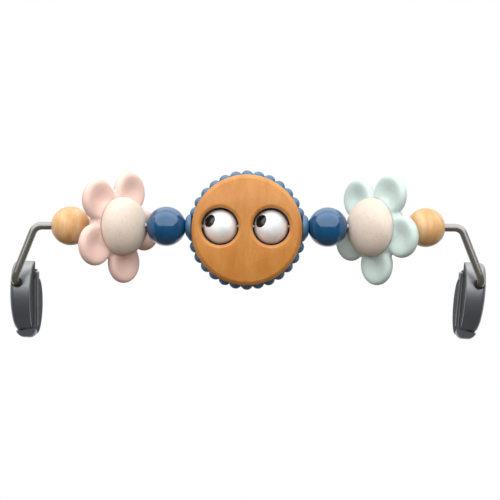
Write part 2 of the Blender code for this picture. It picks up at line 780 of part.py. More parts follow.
def build_clip(side):
    name = SIDE_NAMES[side]
    place = Matrix.Translation(hole_point(side)) @ clip_turn(side)
    swivel = empty(name + "_clip_axis", place, BAR)
    split = clip_point(side, 0, 0, SPLIT_V)
    up = split_normal(side)
    body_shape = oval_shape(
        side, 0, CLIP_THICKNESS, CLIP_TOP, BODY_BOTTOM, CLIP_OUTER_ROUND, CLIP_INNER_ROUND, True
    )
    keep_below(body_shape, split, -up)
    body = object_from(name + "_clip_body", mesh_from(name + "_clip_body", body_shape), "clip_plastic", swivel)
    add_lug(side, body, swivel)
    cut_body(side, body, swivel)
    build_collar(side, swivel)
    pivot = clip_point(side, PIVOT_U, 0, PIVOT_V)
    hinge = empty(name + "_jaw_axis", Matrix.Translation(pivot), swivel)
    build_jaw(side, hinge, pivot)
    build_jaw_pin(side, swivel)


def add_lug(side, body, swivel):
    """The body's middle knuckle, a round eye on a short neck."""
    name = SIDE_NAMES[side]
    front = clip_point(side, PIVOT_U, -LUG_FRONT, PIVOT_V)
    back = clip_point(side, PIVOT_U, LUG_WIDTH - LUG_FRONT, PIVOT_V)
    join(body, name + "_lug_eye", rod_mesh(name + "_lug_eye", front, back, KNUCKLE_RADIUS, SMALL_STEPS + 2), swivel)
    neck_top = SPLIT_V - SPLIT_SLOPE_SHARE * PIVOT_U + OVERRUN
    a = clip_point(side, PIVOT_U - KNUCKLE_RADIUS, -LUG_FRONT, PIVOT_V)
    b = clip_point(side, PIVOT_U + KNUCKLE_RADIUS, LUG_WIDTH - LUG_FRONT, neck_top)
    join(body, name + "_lug_neck", ordered_box(name + "_lug_neck", a, b), swivel)


def ordered_box(name, a, b, round_edges=0.0):
    """A box between two corners given in either order."""
    low = Vector((min(a.x, b.x), min(a.y, b.y), min(a.z, b.z)))
    high = Vector((max(a.x, b.x), max(a.y, b.y), max(a.z, b.z)))
    return box_mesh(name, low, high, round_edges)


def cut_body(side, body, swivel):
    """The blind hole for the rod's tip, the pin hole, the rail channel and the seat of the jaw."""
    name = SIDE_NAMES[side]
    inverse = clip_turn(side).to_3x3().inverted()
    inwards = inverse @ tip_direction(side)
    hole = rod_mesh(
        name + "_tip_hole_cut",
        -inwards * OVERRUN,
        inwards * (TIP_DEPTH + HOLE_EXTRA_DEPTH),
        ROD_BORE,
        SMALL_STEPS + 2,
    )
    cut(body, name + "_tip_hole_cut", hole, swivel)
    front = clip_point(side, PIVOT_U, -CLIP_HALF_DEPTH, PIVOT_V)
    back = clip_point(side, PIVOT_U, CLIP_HALF_DEPTH, PIVOT_V)
    pin_hole = rod_mesh(name + "_pin_hole_cut", front, back, PIN_RADIUS + BORE_GAP, SMALL_STEPS)
    cut(body, name + "_pin_hole_cut", pin_hole, swivel)
    half = CHANNEL_WIDTH / 2
    a = clip_point(side, -OVERRUN, CHANNEL_SETBACK - half, -CHANNEL_FLOOR)
    b = clip_point(side, CHANNEL_DEPTH, CHANNEL_SETBACK + half, CLIP_TOP + OVERRUN)
    cut(body, name + "_channel_cut", ordered_box(name + "_channel_cut", a, b, JAW_EDGE_ROUND), swivel)
    a = clip_point(side, -OVERRUN, 0, -CLIP_TOP - OVERRUN)
    b = clip_point(side, JAW_STEP, CLIP_HALF_DEPTH + OVERRUN, CLIP_TOP + OVERRUN)
    cut(body, name + "_jaw_seat_cut", ordered_box(name + "_jaw_seat_cut", a, b), swivel)


def build_collar(side, swivel):
    """The ring that the rod wears just in front of the clip's rim."""
    name = SIDE_NAMES[side] + "_rod_collar"
    inverse = clip_turn(side).to_3x3().inverted()
    inwards = inverse @ tip_direction(side)
    near = -COLLAR_STANDOFF
    ring = [(COLLAR_RADIUS, near), (COLLAR_RADIUS, near - COLLAR_LENGTH)]
    ring.append((ROD_BORE, near - COLLAR_LENGTH))
    ring.append((ROD_BORE, near))
    object_from(name, turned_mesh(name, ring, SMALL_STEPS + 4, inwards), "rod_steel", swivel)


def build_jaw(side, hinge, pivot):
    """The plate behind the clip's front half, joined to the foot that curls under the body."""
    name = SIDE_NAMES[side] + "_clip_jaw"
    outer = JAW_STEP - SEAT_GAP
    inner = outer - JAW_THICKNESS
    plate = oval_shape(side, inner, outer, JAW_TOP, PLATE_BOTTOM, 0, JAW_EDGE_ROUND, False)
    keep_below(plate, clip_point(side, 0, SEAT_GAP, 0), Vector((0, -1, 0)))
    lip_low = clip_point(side, inner, SEAT_GAP, -LIP_TOP) - pivot
    lip_high = clip_point(side, outer, SEAT_GAP + LIP_DEPTH, LIP_TOP) - pivot
    foot = oval_shape(
        side, inner, CLIP_THICKNESS, JAW_TOP, JAW_BOTTOM, FOOT_OUTER_ROUND, FOOT_INNER_ROUND, True
    )
    keep_below(foot, clip_point(side, 0, -FOOT_FRONT, 0), Vector((0, -1, 0)))
    keep_below(foot, clip_point(side, 0, 0, SPLIT_V - SPLIT_GAP), split_normal(side))
    for shape in (plate, foot):
        bmesh.ops.translate(shape, verts=shape.verts, vec=-pivot)
    jaw = object_from(name, mesh_from(name, foot), "clip_plastic", hinge)
    join(jaw, name + "_plate", mesh_from(name + "_plate", plate), hinge)
    lip = ordered_box(name + "_lip", lip_low, lip_high, JAW_EDGE_ROUND)
    join(jaw, name + "_lip", lip, hinge)
    front = Vector((0, -LUG_FRONT - SEAT_GAP, 0))
    spring_room = SPRING_PITCH * (SPRING_TURNS + 1) + SEAT_GAP
    back = Vector((0, LUG_WIDTH - LUG_FRONT + spring_room, 0))
    room = KNUCKLE_RADIUS + SEAT_GAP
    eye_room = rod_mesh(name + "_eye_cut", front, back, room, SMALL_STEPS + 2)
    cut(jaw, name + "_eye_cut", eye_room, hinge)
    wide = Vector((room + LUG_SWING_ROOM, 0, 0))
    tall = Vector((0, 0, SPLIT_GAP + KNUCKLE_RADIUS + CLIP_HALF_DEPTH))
    neck_room = ordered_box(name + "_neck_cut", front - wide, back + wide + tall)
    cut(jaw, name + "_neck_cut", neck_room, hinge)
    blind_end = Vector((0, -PIN_FRONT - SEAT_GAP, 0))
    open_end = Vector((0, CLIP_HALF_DEPTH, 0))
    pin_hole = rod_mesh(name + "_pin_hole_cut", blind_end, open_end, PIN_RADIUS + BORE_GAP, SMALL_STEPS)
    cut(jaw, name + "_pin_hole_cut", pin_hole, hinge)


def build_jaw_pin(side, swivel):
    name = SIDE_NAMES[side]
    front = clip_point(side, PIVOT_U, -PIN_FRONT, PIVOT_V)
    back = clip_point(side, PIVOT_U, PIN_LENGTH - PIN_FRONT, PIVOT_V)
    pin = rod_mesh(name + "_jaw_pin", front, back, PIN_RADIUS, SMALL_STEPS)
    object_from(name + "_jaw_pin", pin, "plain_steel", swivel)
    curve = bpy.data.curves.new(name + "_jaw_spring", "CURVE")
    curve.dimensions = "3D"
    curve.bevel_depth = SPRING_WIRE_RADIUS
    curve.bevel_resolution = 0
    curve.use_fill_caps = True
    count = SPRING_STEPS * SPRING_TURNS + 1
    spline = curve.splines.new("POLY")
    spline.points.add(count - 1)
    start = LUG_WIDTH - LUG_FRONT + SEAT_GAP + SPRING_WIRE_RADIUS
    for i, point in enumerate(spline.points):
        angle = 2 * pi * i / SPRING_STEPS
        rise = start + SPRING_PITCH * i / SPRING_STEPS
        centre = clip_point(side, PIVOT_U, rise, PIVOT_V)
        point.co = (*(centre + Vector((cos(angle), 0, sin(angle))) * SPRING_COIL_RADIUS), 1)
    curve.materials.append(finish("plain_steel"))
    spring = bpy.data.objects.new(name + "_jaw_spring", curve)
    spring.parent = swivel
    PARTS.objects.link(spring)


clear_scene()
PARTS = collection("bouncer_toy_bar")
CUTTERS = collection("cutters")
BAR = empty("bar_frame", Matrix.Translation(BAR_CENTRE))
build_rod()
build_wheel()
for end in (LEFT, RIGHT):
    build_eye(end)
    build_blue_bead(end)
    build_end_bead(end)
    build_end_stop(end)
    build_clip(end)
build_flower(LEFT, "petal_pink", LEFT_PETAL_START)
build_flower(RIGHT, "petal_mint", RIGHT_PETAL_START)
bpy.context.view_layer.update()
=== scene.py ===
"""Finished look of a toy bar for a baby bouncer.

A bent, satin grey rod hangs between two slate grey clips. Threaded on it are amber wooden balls, two
petal flowers with pale wooden domes, glossy blue balls and a wooden wheel with a scalloped blue rim
and two turning eyes.
"""

import json
from math import asin, cos, pi, radians, sin, sqrt, tan

import bpy
from bpy.props import FloatProperty, FloatVectorProperty, IntProperty, PointerProperty
from mathutils import Matrix, Vector


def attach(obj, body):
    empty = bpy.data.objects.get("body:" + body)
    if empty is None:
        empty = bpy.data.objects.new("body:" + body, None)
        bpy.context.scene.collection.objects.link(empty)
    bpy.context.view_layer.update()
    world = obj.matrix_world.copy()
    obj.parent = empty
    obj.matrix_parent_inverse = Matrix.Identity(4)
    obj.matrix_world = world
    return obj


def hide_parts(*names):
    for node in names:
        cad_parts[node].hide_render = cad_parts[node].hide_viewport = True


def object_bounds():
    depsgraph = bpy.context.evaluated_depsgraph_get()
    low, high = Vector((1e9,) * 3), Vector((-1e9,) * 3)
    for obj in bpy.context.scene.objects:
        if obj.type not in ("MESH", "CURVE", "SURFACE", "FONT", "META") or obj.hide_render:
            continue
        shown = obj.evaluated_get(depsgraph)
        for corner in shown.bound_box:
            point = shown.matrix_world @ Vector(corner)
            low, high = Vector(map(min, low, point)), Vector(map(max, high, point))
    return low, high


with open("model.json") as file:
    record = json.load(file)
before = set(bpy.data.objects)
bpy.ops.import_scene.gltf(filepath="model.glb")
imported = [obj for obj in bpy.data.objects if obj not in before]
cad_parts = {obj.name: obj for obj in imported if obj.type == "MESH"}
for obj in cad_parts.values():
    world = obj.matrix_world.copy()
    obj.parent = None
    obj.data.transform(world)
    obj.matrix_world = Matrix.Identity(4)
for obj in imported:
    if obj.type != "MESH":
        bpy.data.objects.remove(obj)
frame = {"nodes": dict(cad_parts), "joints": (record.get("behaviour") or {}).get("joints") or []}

bl_info = {
    "name": "Bouncer Toy Bar",
    "version": (1, 0, 0),
    "blender": (4, 5, 0),
    "location": "View3D > Sidebar > Toy Bar",
    "description": "Models and finishes a wooden toy bar for a baby bouncer, piece by piece",
    "category": "Object",
}

CAD_BOX = [list(corner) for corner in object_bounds()]
NODES = frame["nodes"]
JOINTS = {joint["name"]: joint for joint in frame["joints"]}
SIDES = {"left": -1, "right": 1}
UP = Vector((0, 0, 1))
ALONG = Vector((1, 0, 0))
TO_CHILD = Vector((0, -1, 0))
WHITE = (1.0, 1.0, 1.0)

# Lengths in metres, and shares, that no panel setting carries
ON_PLANE = 1e-6
DOUBLED = 2e-6
SEED_SIZE = 0.01
OVERCUT = 0.004
HUB_SLOPE = 0.0075
HUB_THINNING = 0.9
PETAL_VOXEL = 0.00062
PETAL_SOFTENING = 14
DOWEL_OVERCUT = 0.002
CORE_INSET = 0.0002
BOSS_MOUTH = 0.0010
BOSS_FULLNESS = 0.8
BOSS_NECK_INSET = 0.0004
BOSS_ROOT = 0.010
EYE_MOUTH = 0.0006
PUPIL_GLUE = 0.0003
PUPIL_OVERCUT = 0.003
PUPIL_FIT = 0.00015
PUPIL_PROUD = 0.0001
PUPIL_SHARE = 0.94
PUPIL_STEP = 0.0004
TIP_HOLE = 0.0038
CHANNEL_ROUND = 0.001
# Faces turned further inward than this get the painted shade
SHADED_FACE = -0.97
# Front-facing faces past this, on the lip's edge strips, get the painted highlight
FRONT_FACE = -0.3
CANOPY_FRONT = (0, -1.75, 0.05)
CANOPY_TOP = (0, 0.0, 1.0)
CANOPY_BACK = (0, 0.9, 1.0)
CANOPY_WIDTH = 3.2


def joint_place(name):
    """Where a joint turns, in metres."""
    return Vector(JOINTS[name]["pos_m"])


def joint_axis(name):
    return Vector(JOINTS[name]["axis"]).normalized()


BAR = joint_place("wheel_spin")
BAR_LINE = Vector((0, BAR.y, BAR.z))


def length(name, default, description):
    return FloatProperty(
        name=name, description=description, default=default, min=0.0, precision=5, unit="LENGTH"
    )


def rotation(name, default, description):
    return FloatProperty(name=name, description=description, default=radians(default), subtype="ANGLE")


def number(name, default, description, unit="NONE"):
    return FloatProperty(name=name, description=description, default=default, unit=unit)


def colour(name, default, description):
    return FloatVectorProperty(
        name=name, description=description, default=default, size=3, min=0.0, max=1.0, subtype="COLOR"
    )


class RodSettings(bpy.types.PropertyGroup):
    radius: length("Rod Radius", 0.0035, "Half the thickness of the bent rod")
    half_span: length("Half Span", 0.187531, "From the middle of the bar to the corner of its centre line")
    corner_radius: length("Corner Radius", 0.0088, "Bend between the bar and a leg")
    elbow_radius: length("Elbow Radius", 0.0090, "Bend between a leg and its tip")
    standoff: length("Tip Standoff", 0.0100, "From the elbow's corner to the clip's rim")
    tip_depth: length("Tip Depth", 0.0180, "Length of rod inside the clip")
    collar_radius: length("Collar Radius", 0.0047, "Radius of the rings just in front of the clips")
    collar_length: length("Collar Length", 0.0016, "Length of those rings")
    collar_standoff: length("Collar Standoff", 0.0012, "From a clip's rim to its ring")
    paint: colour("Paint", (0.105, 0.096, 0.076), "Warm grey satin paint")
    collar_paint: colour("Ring Paint", (0.022, 0.022, 0.024), "Dark satin finish of the rings")


class BeadSettings(bpy.types.PropertyGroup):
    radius: length("Ball Radius", 0.0171, "Radius of the amber balls")
    blue_radius: length("Blue Ball Radius", 0.0175, "Radius of the blue balls, lacquer and all")
    bore: length("Bore", 0.0038, "Radius of the hole for the rod")
    mouth: length("Mouth Rounding", 0.0006, "Rounding where the bore meets the ball")
    stop_recess: length("Stop Recess Radius", 0.0054, "Radius of the end ball's recess")
    stop_depth: length("Stop Recess Depth", 0.0036, "Depth of the end ball's recess")
    amber_light: colour("Amber, Light", (0.88, 0.60, 0.33), "Early wood of the amber balls")
    amber_dark: colour("Amber, Dark", (0.66, 0.34, 0.11), "Late wood of the amber balls")
    blue: colour("Blue Lacquer", (0.004, 0.078, 0.200), "Gloss lacquer of the blue balls")


class FlowerSettings(bpy.types.PropertyGroup):
    turn: rotation("Turn", 53, "How far the left flower faces the middle")
    right_turn: rotation("Right Turn", 50.5, "How far the right flower faces the middle")
    petal_radius: length("Petal Radius", 0.0182, "Radius of one round petal")
    petal_centre: length("Petal Distance", 0.0328, "From the flower's middle to a petal's")
    rim: length("Rim Thickness", 0.0085, "Thickness of a petal at its rim")
    dish: length("Dish Depth", 0.0028, "How deep each petal is dished on both faces")
    hub_radius: length("Hub Radius", 0.0240, "Flat middle that carries the domes")
    hub_thickness: length("Hub Thickness", 0.0090, "Thickness of the flat middle")
    dome_radius: length("Dome Radius", 0.0256, "Radius of the wooden domes")
    dome_height: length("Dome Height", 0.0178, "Height of the wooden domes")
    dome_edge: length("Dome Edge", 0.0008, "Straight edge at the foot of a dome")
    glue_gap: length("Glue Gap", 0.0003, "Gap between a dome and the petals")
    groove: length("Seat Groove", 0.0007, "Width of the groove round a dome's foot")
    left_start: rotation("Left Petal Start", 66, "Angle of the left flower's first petal")
    right_start: rotation("Right Petal Start", 57, "Angle of the right flower's first petal")
    pink: colour("Pink", (0.89, 0.64, 0.565), "Matt paint of the left flower")
    mint: colour("Mint", (0.625, 0.775, 0.75), "Matt paint of the right flower")
    birch_light: colour("Pale Wood, Light", (0.81, 0.725, 0.645), "Ground colour of the domes")
    birch_dark: colour("Pale Wood, Dark", (0.68, 0.56, 0.44), "Fleck colour of the domes")


class WheelSettings(bpy.types.PropertyGroup):
    drop: length("Wheel Drop", 0.0030, "How far the wheel's middle hangs below the rod")
    disc_radius: length("Disc Radius", 0.0484, "Radius of the wooden discs")
    disc_back: length("Disc Back", 0.0058, "From the middle plane to a disc's inner face")
    disc_thickness: length("Disc Thickness", 0.0080, "Thickness of one wooden disc")
    edge_round: length("Edge Rounding", 0.0038, "Rounding of a disc's outer edge")
    edge_profile: number("Edge Profile", 0.34, "Fullness of that rounding, where 0.25 is a plain chamfer")
    inner_round: length("Inner Rounding", 0.0008, "Rounding of a disc's inner edge")
    eye_hole: length("Eye Hole Radius", 0.0163, "Radius of the eye holes")
    eye_flare: length("Eye Hole Flare", 0.0034, "Rounding of the eye holes' edges")
    ring_lip: length("Ring Lip", 0.0020, "Thickness of the ring's lip behind each eyeball")
    ring_fit: length("Ring Fit", 0.00015, "Play between that lip and the eyeball")
    ring_half_width: length("Ring Half Width", 0.0055, "Half the thickness of the scalloped ring")
    scallops: IntProperty(name="Scallops", description="Round bumps on the ring", default=30, min=3)
    scallop_centre: length("Scallop Distance", 0.0468, "From the wheel's middle to a bump's")
    scallop_radius: length("Scallop Radius", 0.0058, "Radius of one bump")
    boss_radius: length("Boss Radius", 0.0108, "Radius of the button at each side of the ring")
    boss_height: length("Boss Height", 0.0053, "How far a button stands out beyond the discs")
    boss_gap: length("Boss Gap", 0.0005, "From the discs' edge to the foot of a button")
    dowel_circle: length("Dowel Circle", 0.0430, "Radius of the circle of hidden dowels")
    dowel_hole: length("Dowel Hole", 0.0023, "Radius of the dowels' holes")
    dowel_depth: length("Dowel Depth", 0.0053, "Depth of the dowels' holes in each disc")
    wood_light: colour("Orange Wood, Light", (0.635, 0.282, 0.066), "Early wood of the wheel")
    wood_dark: colour("Orange Wood, Dark", (0.57, 0.222, 0.042), "Late wood of the wheel")
    ring_blue: colour("Ring Blue", (0.070, 0.165, 0.290), "Satin paint of the scalloped ring")


class EyeSettings(bpy.types.PropertyGroup):
    radius: length("Eye Radius", 0.0153, "Radius of an eyeball")
    pupil_radius: length("Pupil Radius", 0.0057, "Radius of a pupil")
    pupil_depth: length("Pupil Thickness", 0.0020, "Thickness of a pupil at its edge")
    gaze: FloatVectorProperty(
        name="Gaze", description="Direction that both eyes look in", default=(-0.62, -0.71, 0.33), size=3,
        subtype="DIRECTION",
    )
    white: colour("White", (0.91, 0.97, 1.0), "Gloss paint of the eyeballs")
    black: colour("Black", (0.006, 0.007, 0.010), "Gloss black of the pupils")


class ClipSettings(bpy.types.PropertyGroup):
    top: length("Top", 0.0352, "Top of a clip above its middle")
    body_bottom: length("Body Bottom", 0.0290, "Lowest point of the body's oval below the middle")
    jaw_bottom: length("Jaw Bottom", 0.0352, "Lowest point of the jaw's foot below the middle")
    half_depth: length("Half Depth", 0.0190, "Half of a clip from front to back")
    thickness: length("Thickness", 0.0188, "Thickness of a clip where it is widest")
    widest: length("Widest Point", 0.0230, "Height of the widest point above the middle")
    taper_radius: length("Taper Radius", 0.5500, "Radius of the outer face's slight curve")
    outer_round: length("Outer Rounding", 0.0050, "Rounding of the body's outer rim")
    inner_round: length("Inner Rounding", 0.0014, "Rounding of the body's inner rim")
    edge_round: length("Edge Rounding", 0.0004, "Rounding of the cut edges")
    tilt: rotation("Tilt", 8.5, "How far a clip's foot swings back")
    swing: rotation("Swing", 2.7, "How far both clips hang swung round the rod's tips")
    toe: rotation("Toe In", 0.7, "Turn of a clip round its upright axis")
    lean: rotation("Lean", 1, "Lean of a clip to the side")
    hole_across: length("Hole Across", 0.0119, "From the inner face to the hole for the rod's tip")
    hole_up: length("Hole Up", 0.0187, "Height of that hole above the middle")
    hole_depth: length("Hole Depth", 0.0195, "Depth of that hole")
    split_down: length("Split Down", 0.0239, "From the middle down to the split between body and jaw")
    split_slope: number("Split Slope", 0.266, "Rise of the split across the clip")
    split_gap: length("Split Gap", 0.0007, "Gap between body and foot")
    channel_depth: length("Channel Depth", 0.0080, "How deep the seat frame's tube lies in the body")
    channel_width: length("Channel Width", 0.0090, "Width of the tube's channel")
    channel_back: length("Channel Back", 0.0090, "From the middle back to the channel's middle")
    channel_floor: length("Channel Floor", 0.0140, "Where the channel ends below the middle")
    jaw_thickness: length("Jaw Thickness", 0.0036, "Thickness of the jaw's plate")
    jaw_step: length("Jaw Step", 0.0005, "How far the plate is let into the body")
    jaw_top: length("Jaw Top", 0.0200, "Top of the jaw's plate above the middle")
    plate_bottom: length("Plate Bottom", 0.0315, "Bottom of the jaw's plate below the middle")
    lip_top: length("Lip Top", 0.0256, "Top of the jaw's front lip above the middle")
    lip_depth: length("Lip Depth", 0.0045, "Depth of that lip")
    lip_round: length("Lip Rounding", 0.0011, "Rounding of the lip's edges")
    foot_outer: length("Foot Outer Rounding", 0.0085, "Rounding of the foot's outer edge")
    foot_inner: length("Foot Inner Rounding", 0.0075, "Rounding of the foot's inner edge")
    foot_front: length("Foot Front", 0.0080, "How far the foot reaches forward of the middle")
    pivot_across: length("Pivot Across", 0.0114, "From the inner face to the jaw's pin")
    pivot_down: length("Pivot Down", 0.0298, "From the middle down to the jaw's pin")
    knuckle: length("Knuckle Radius", 0.0026, "Radius of the body's knuckle round the pin")
    lug_front: length("Knuckle Front", 0.0045, "How far the knuckle reaches forward of the middle")
    lug_width: length("Knuckle Width", 0.0050, "Width of the knuckle")
    lug_room: length("Knuckle Room", 0.0005, "Room beside the knuckle for the jaw's swing")
    spring_room: length("Spring Room", 0.0047, "Room behind the knuckle for the spring")
    pin: length("Pin Radius", 0.0015, "Radius of the pin's hole")
    pin_front: length("Pin Front", 0.0073, "How far that hole reaches forward of the middle")
    fit: length("Fit", 0.0003, "Gap between parts that move on each other")
    plastic: colour("Plastic", (0.030, 0.042, 0.058), "Satin slate plastic of the clips")
    # Painted shade: a darker colour on the clips' inward-facing faces, standing in for the shade that falls
    # there
    painted_shade: colour("Painted Shade", (0.036, 0.040, 0.046), "Matt dark lining of the faces that meet the seat frame")
    # Painted highlight: a paler plastic on the jaw lip's edges, standing in for the light those rounded edges
    # catch
    edges: colour("Edges", (0.30, 0.32, 0.34), "Plastic rubbed pale on the edges of the jaw's lip")
    steel: colour("Steel", (0.55, 0.55, 0.56), "Plain steel of pins, springs and stops")


class StageSettings(bpy.types.PropertyGroup):
    floor_drop: length("Floor Drop", 0.90, "How far the floor lies below the bar")
    floor_radius: length("Floor Radius", 0.8, "Radius of the round floor")
    floor_back: length("Floor Back", 0.2, "How far the floor's middle lies behind the bar")
    camera_x: number("Camera Sideways", 0.01526, "From the bar's middle", "LENGTH")
    camera_shift: number("Camera Shift", -0.031, "Sideways shift of the lens, in picture widths")
    camera_back: length("Camera Distance", 0.968, "From the bar to the camera")
    camera_drop: length("Camera Drop", 0.0204, "How far the camera is below the rod")
    camera_roll: rotation("Camera Roll", 0.28, "Small roll of the camera")
    lens: number("Lens", 79.2, "Focal length in millimetres")
    canopy: number("Canopy Light", 43.0, "Power of the wide light above and in front, in watts")
    rear_canopy: number("Rear Canopy Light", 9.0, "Power of the wide light above and behind, in watts")
    fill: number("Fill", 0.14, "Strength of the light from all round")
    fill_tone: colour("Fill Tone", (1.0, 0.70, 0.50), "Warm tone of the light from all round")
    dark_side: number("Dark Side", 0.12, "Strength of what shiny pieces mirror from behind the camera")


def deselect():
    """Leaves edit mode and selects nothing."""
    if bpy.context.object and bpy.context.object.mode != "OBJECT":
        bpy.ops.object.mode_set(mode="OBJECT")
    bpy.ops.object.select_all(action="DESELECT")


def pick(piece):
    """Makes a piece the only selected object and the active one."""
    deselect()
    piece.select_set(True)
    bpy.context.view_layer.objects.active = piece


def named(name):
    """Names the object that the last primitive made."""
    piece = bpy.context.object
    piece.name = name
    piece.data.name = name
    return piece


def edit(piece, mode="VERT"):
    pick(piece)
    bpy.ops.object.mode_set(mode="EDIT")
    bpy.ops.mesh.select_mode(type=mode)
    bpy.ops.mesh.select_all(action="SELECT")


def close(piece):
    """Merges doubled points and turns all faces outwards."""
    edit(piece)
    bpy.ops.mesh.remove_doubles(threshold=DOUBLED)
    bpy.ops.mesh.normals_make_consistent(inside=False)
    bpy.ops.object.mode_set(mode="OBJECT")


def settle(piece, matrix):
    """Moves a piece to its place and applies the place to its mesh."""
    pick(piece)
    piece.matrix_world = matrix
    bpy.ops.object.transform_apply(location=True, rotation=True, scale=True)


def smooth(piece, angle=radians(35)):
    pick(piece)
    bpy.ops.object.shade_smooth_by_angle(angle=angle)


def facing(way):
    """A turn that brings +Z to a direction."""
    return way.to_track_quat("Z", "Y").to_matrix().to_4x4()


def turned(name, outline, steps, way, centre):
    """An outline of (radius, height) points, spun round the axis through centre along way."""
    deselect()
    bpy.ops.mesh.primitive_plane_add(size=SEED_SIZE)
    piece = named(name)
    edit(piece)
    bpy.ops.mesh.merge(type="CENTER")
    bpy.ops.transform.translate(value=(outline[0][0], 0, outline[0][1]))
    for here, there in zip(outline, outline[1:]):
        step = (there[0] - here[0], 0, there[1] - here[1])
        bpy.ops.mesh.extrude_vertices_move(TRANSFORM_OT_translate={"value": step})
    bpy.ops.mesh.select_all(action="SELECT")
    bpy.ops.mesh.spin(steps=steps, angle=2 * pi, center=(0, 0, 0), axis=(0, 0, 1))
    close(piece)
    settle(piece, Matrix.Translation(centre) @ facing(way))
    return piece


def drill(name, start, end, radius, steps=48):
    """A straight round cutter between two points."""
    span = end - start
    deselect()
    bpy.ops.mesh.primitive_cylinder_add(vertices=steps, radius=radius, depth=span.length)
    piece = named(name)
    settle(piece, Matrix.Translation((start + end) / 2) @ facing(span.normalized()))
    return piece


def modify(piece, kind, **values):
    """Adds a modifier to a piece and applies it."""
    pick(piece)
    bpy.ops.object.modifier_add(type=kind)
    step = piece.modifiers[-1]
    for key, value in values.items():
        setattr(step, key, value)
    bpy.ops.object.modifier_apply(modifier=step.name)


def carve(piece, cutter, operation="DIFFERENCE", overlapping=False):
    """Cuts a cutter out of a piece, or joins it on, and removes the cutter."""
    modify(piece, "BOOLEAN", operation=operation, solver="EXACT", use_self=overlapping, object=cutter)
    bpy.data.objects.remove(cutter)


def round_rim(piece, axis, level, width, segments, profile):
    """Rounds the edges that lie on one plane across an axis."""
    edit(piece, "EDGE")
    bpy.ops.mesh.select_all(action="DESELECT")
    bpy.ops.object.mode_set(mode="OBJECT")
    for edge in piece.data.edges:
        ends = [piece.data.vertices[i].co[axis] for i in edge.vertices]
        edge.select = all(abs(end - level) < ON_PLANE for end in ends)
    bpy.ops.object.mode_set(mode="EDIT")
    bpy.ops.mesh.bevel(offset=width, segments=segments, profile=profile, affect="EDGES")
    bpy.ops.object.mode_set(mode="OBJECT")


def arc(centre, radius, start, end, steps):
    """Points on an arc of (radius, height), from the start angle to the end one."""
    angles = [start + (end - start) * i / steps for i in range(steps + 1)]
    return [(centre[0] + radius * cos(a), centre[1] + radius * sin(a)) for a in angles]


def ball_outline(radius, bore, mouth, steps=44):
    """A ball with a bore along its axis, whose mouths are rounded."""
    wide = bore + mouth
    reach = asin(wide / radius)
    half = sqrt(radius**2 - wide**2)
    points = arc((0, 0), radius, pi / 2 - reach, reach - pi / 2, steps)
    points.extend(arc((wide, mouth - half), mouth, -pi / 2, -pi, 4)[1:])
    points.extend(arc((wide, half - mouth), mouth, pi, pi / 2, 4))
    return points


def finish(piece, body, slot, material, *replaced):
    """Gives a new piece its material, its body and the CAD nodes that it stands for."""
    piece.data.materials.clear()
    piece.data.materials.append(material)
    if replaced:
        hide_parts(*replaced)
    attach(piece, body)


class Nodes:
    """A node tree, with the steps that build it."""

    def __init__(self, tree):
        self.tree = tree

    def node(self, kind, **values):
        made = self.tree.nodes.new(kind)
        for key, value in values.items():
            setattr(made, key, value)
        return made

    def feed(self, socket, given):
        """Sets a socket to a number, or joins another node's output to it."""
        if isinstance(given, (int, float)):
            socket.default_value = given
        else:
            self.tree.links.new(given, socket)

    def maths(self, operation, *terms):
        made = self.node("ShaderNodeMath", operation=operation)
        for socket, term in zip(made.inputs, terms):
            self.feed(socket, term)
        return made.outputs[0]

    def spread(self, value, low, high, from_low=0.3, from_high=0.7):
        """A value brought from one range to another."""
        made = self.node("ShaderNodeMapRange")
        names = ("Value", "From Min", "From Max", "To Min", "To Max")
        for name, given in zip(names, (value, from_low, from_high, low, high)):
            self.feed(made.inputs[name], given)
        return made.outputs["Result"]

    def blend(self, amount, under, over):
        """One shader laid over another."""
        made = self.node("ShaderNodeMixShader")
        for socket, given in zip(made.inputs, (amount, under, over)):
            self.feed(socket, given)
        return made.outputs["Shader"]

    def ray(self, kind):
        """1 for rays of a kind, and 0 for others."""
        return self.node("ShaderNodeLightPath").outputs[f"Is {kind} Ray"]

    def seen(self):
        """1 for rays from the camera, and for those that a shiny or clear surface sends on."""
        first = self.maths("MAXIMUM", self.ray("Camera"), self.ray("Glossy"))
        return self.maths("MAXIMUM", first, self.ray("Transmission"))


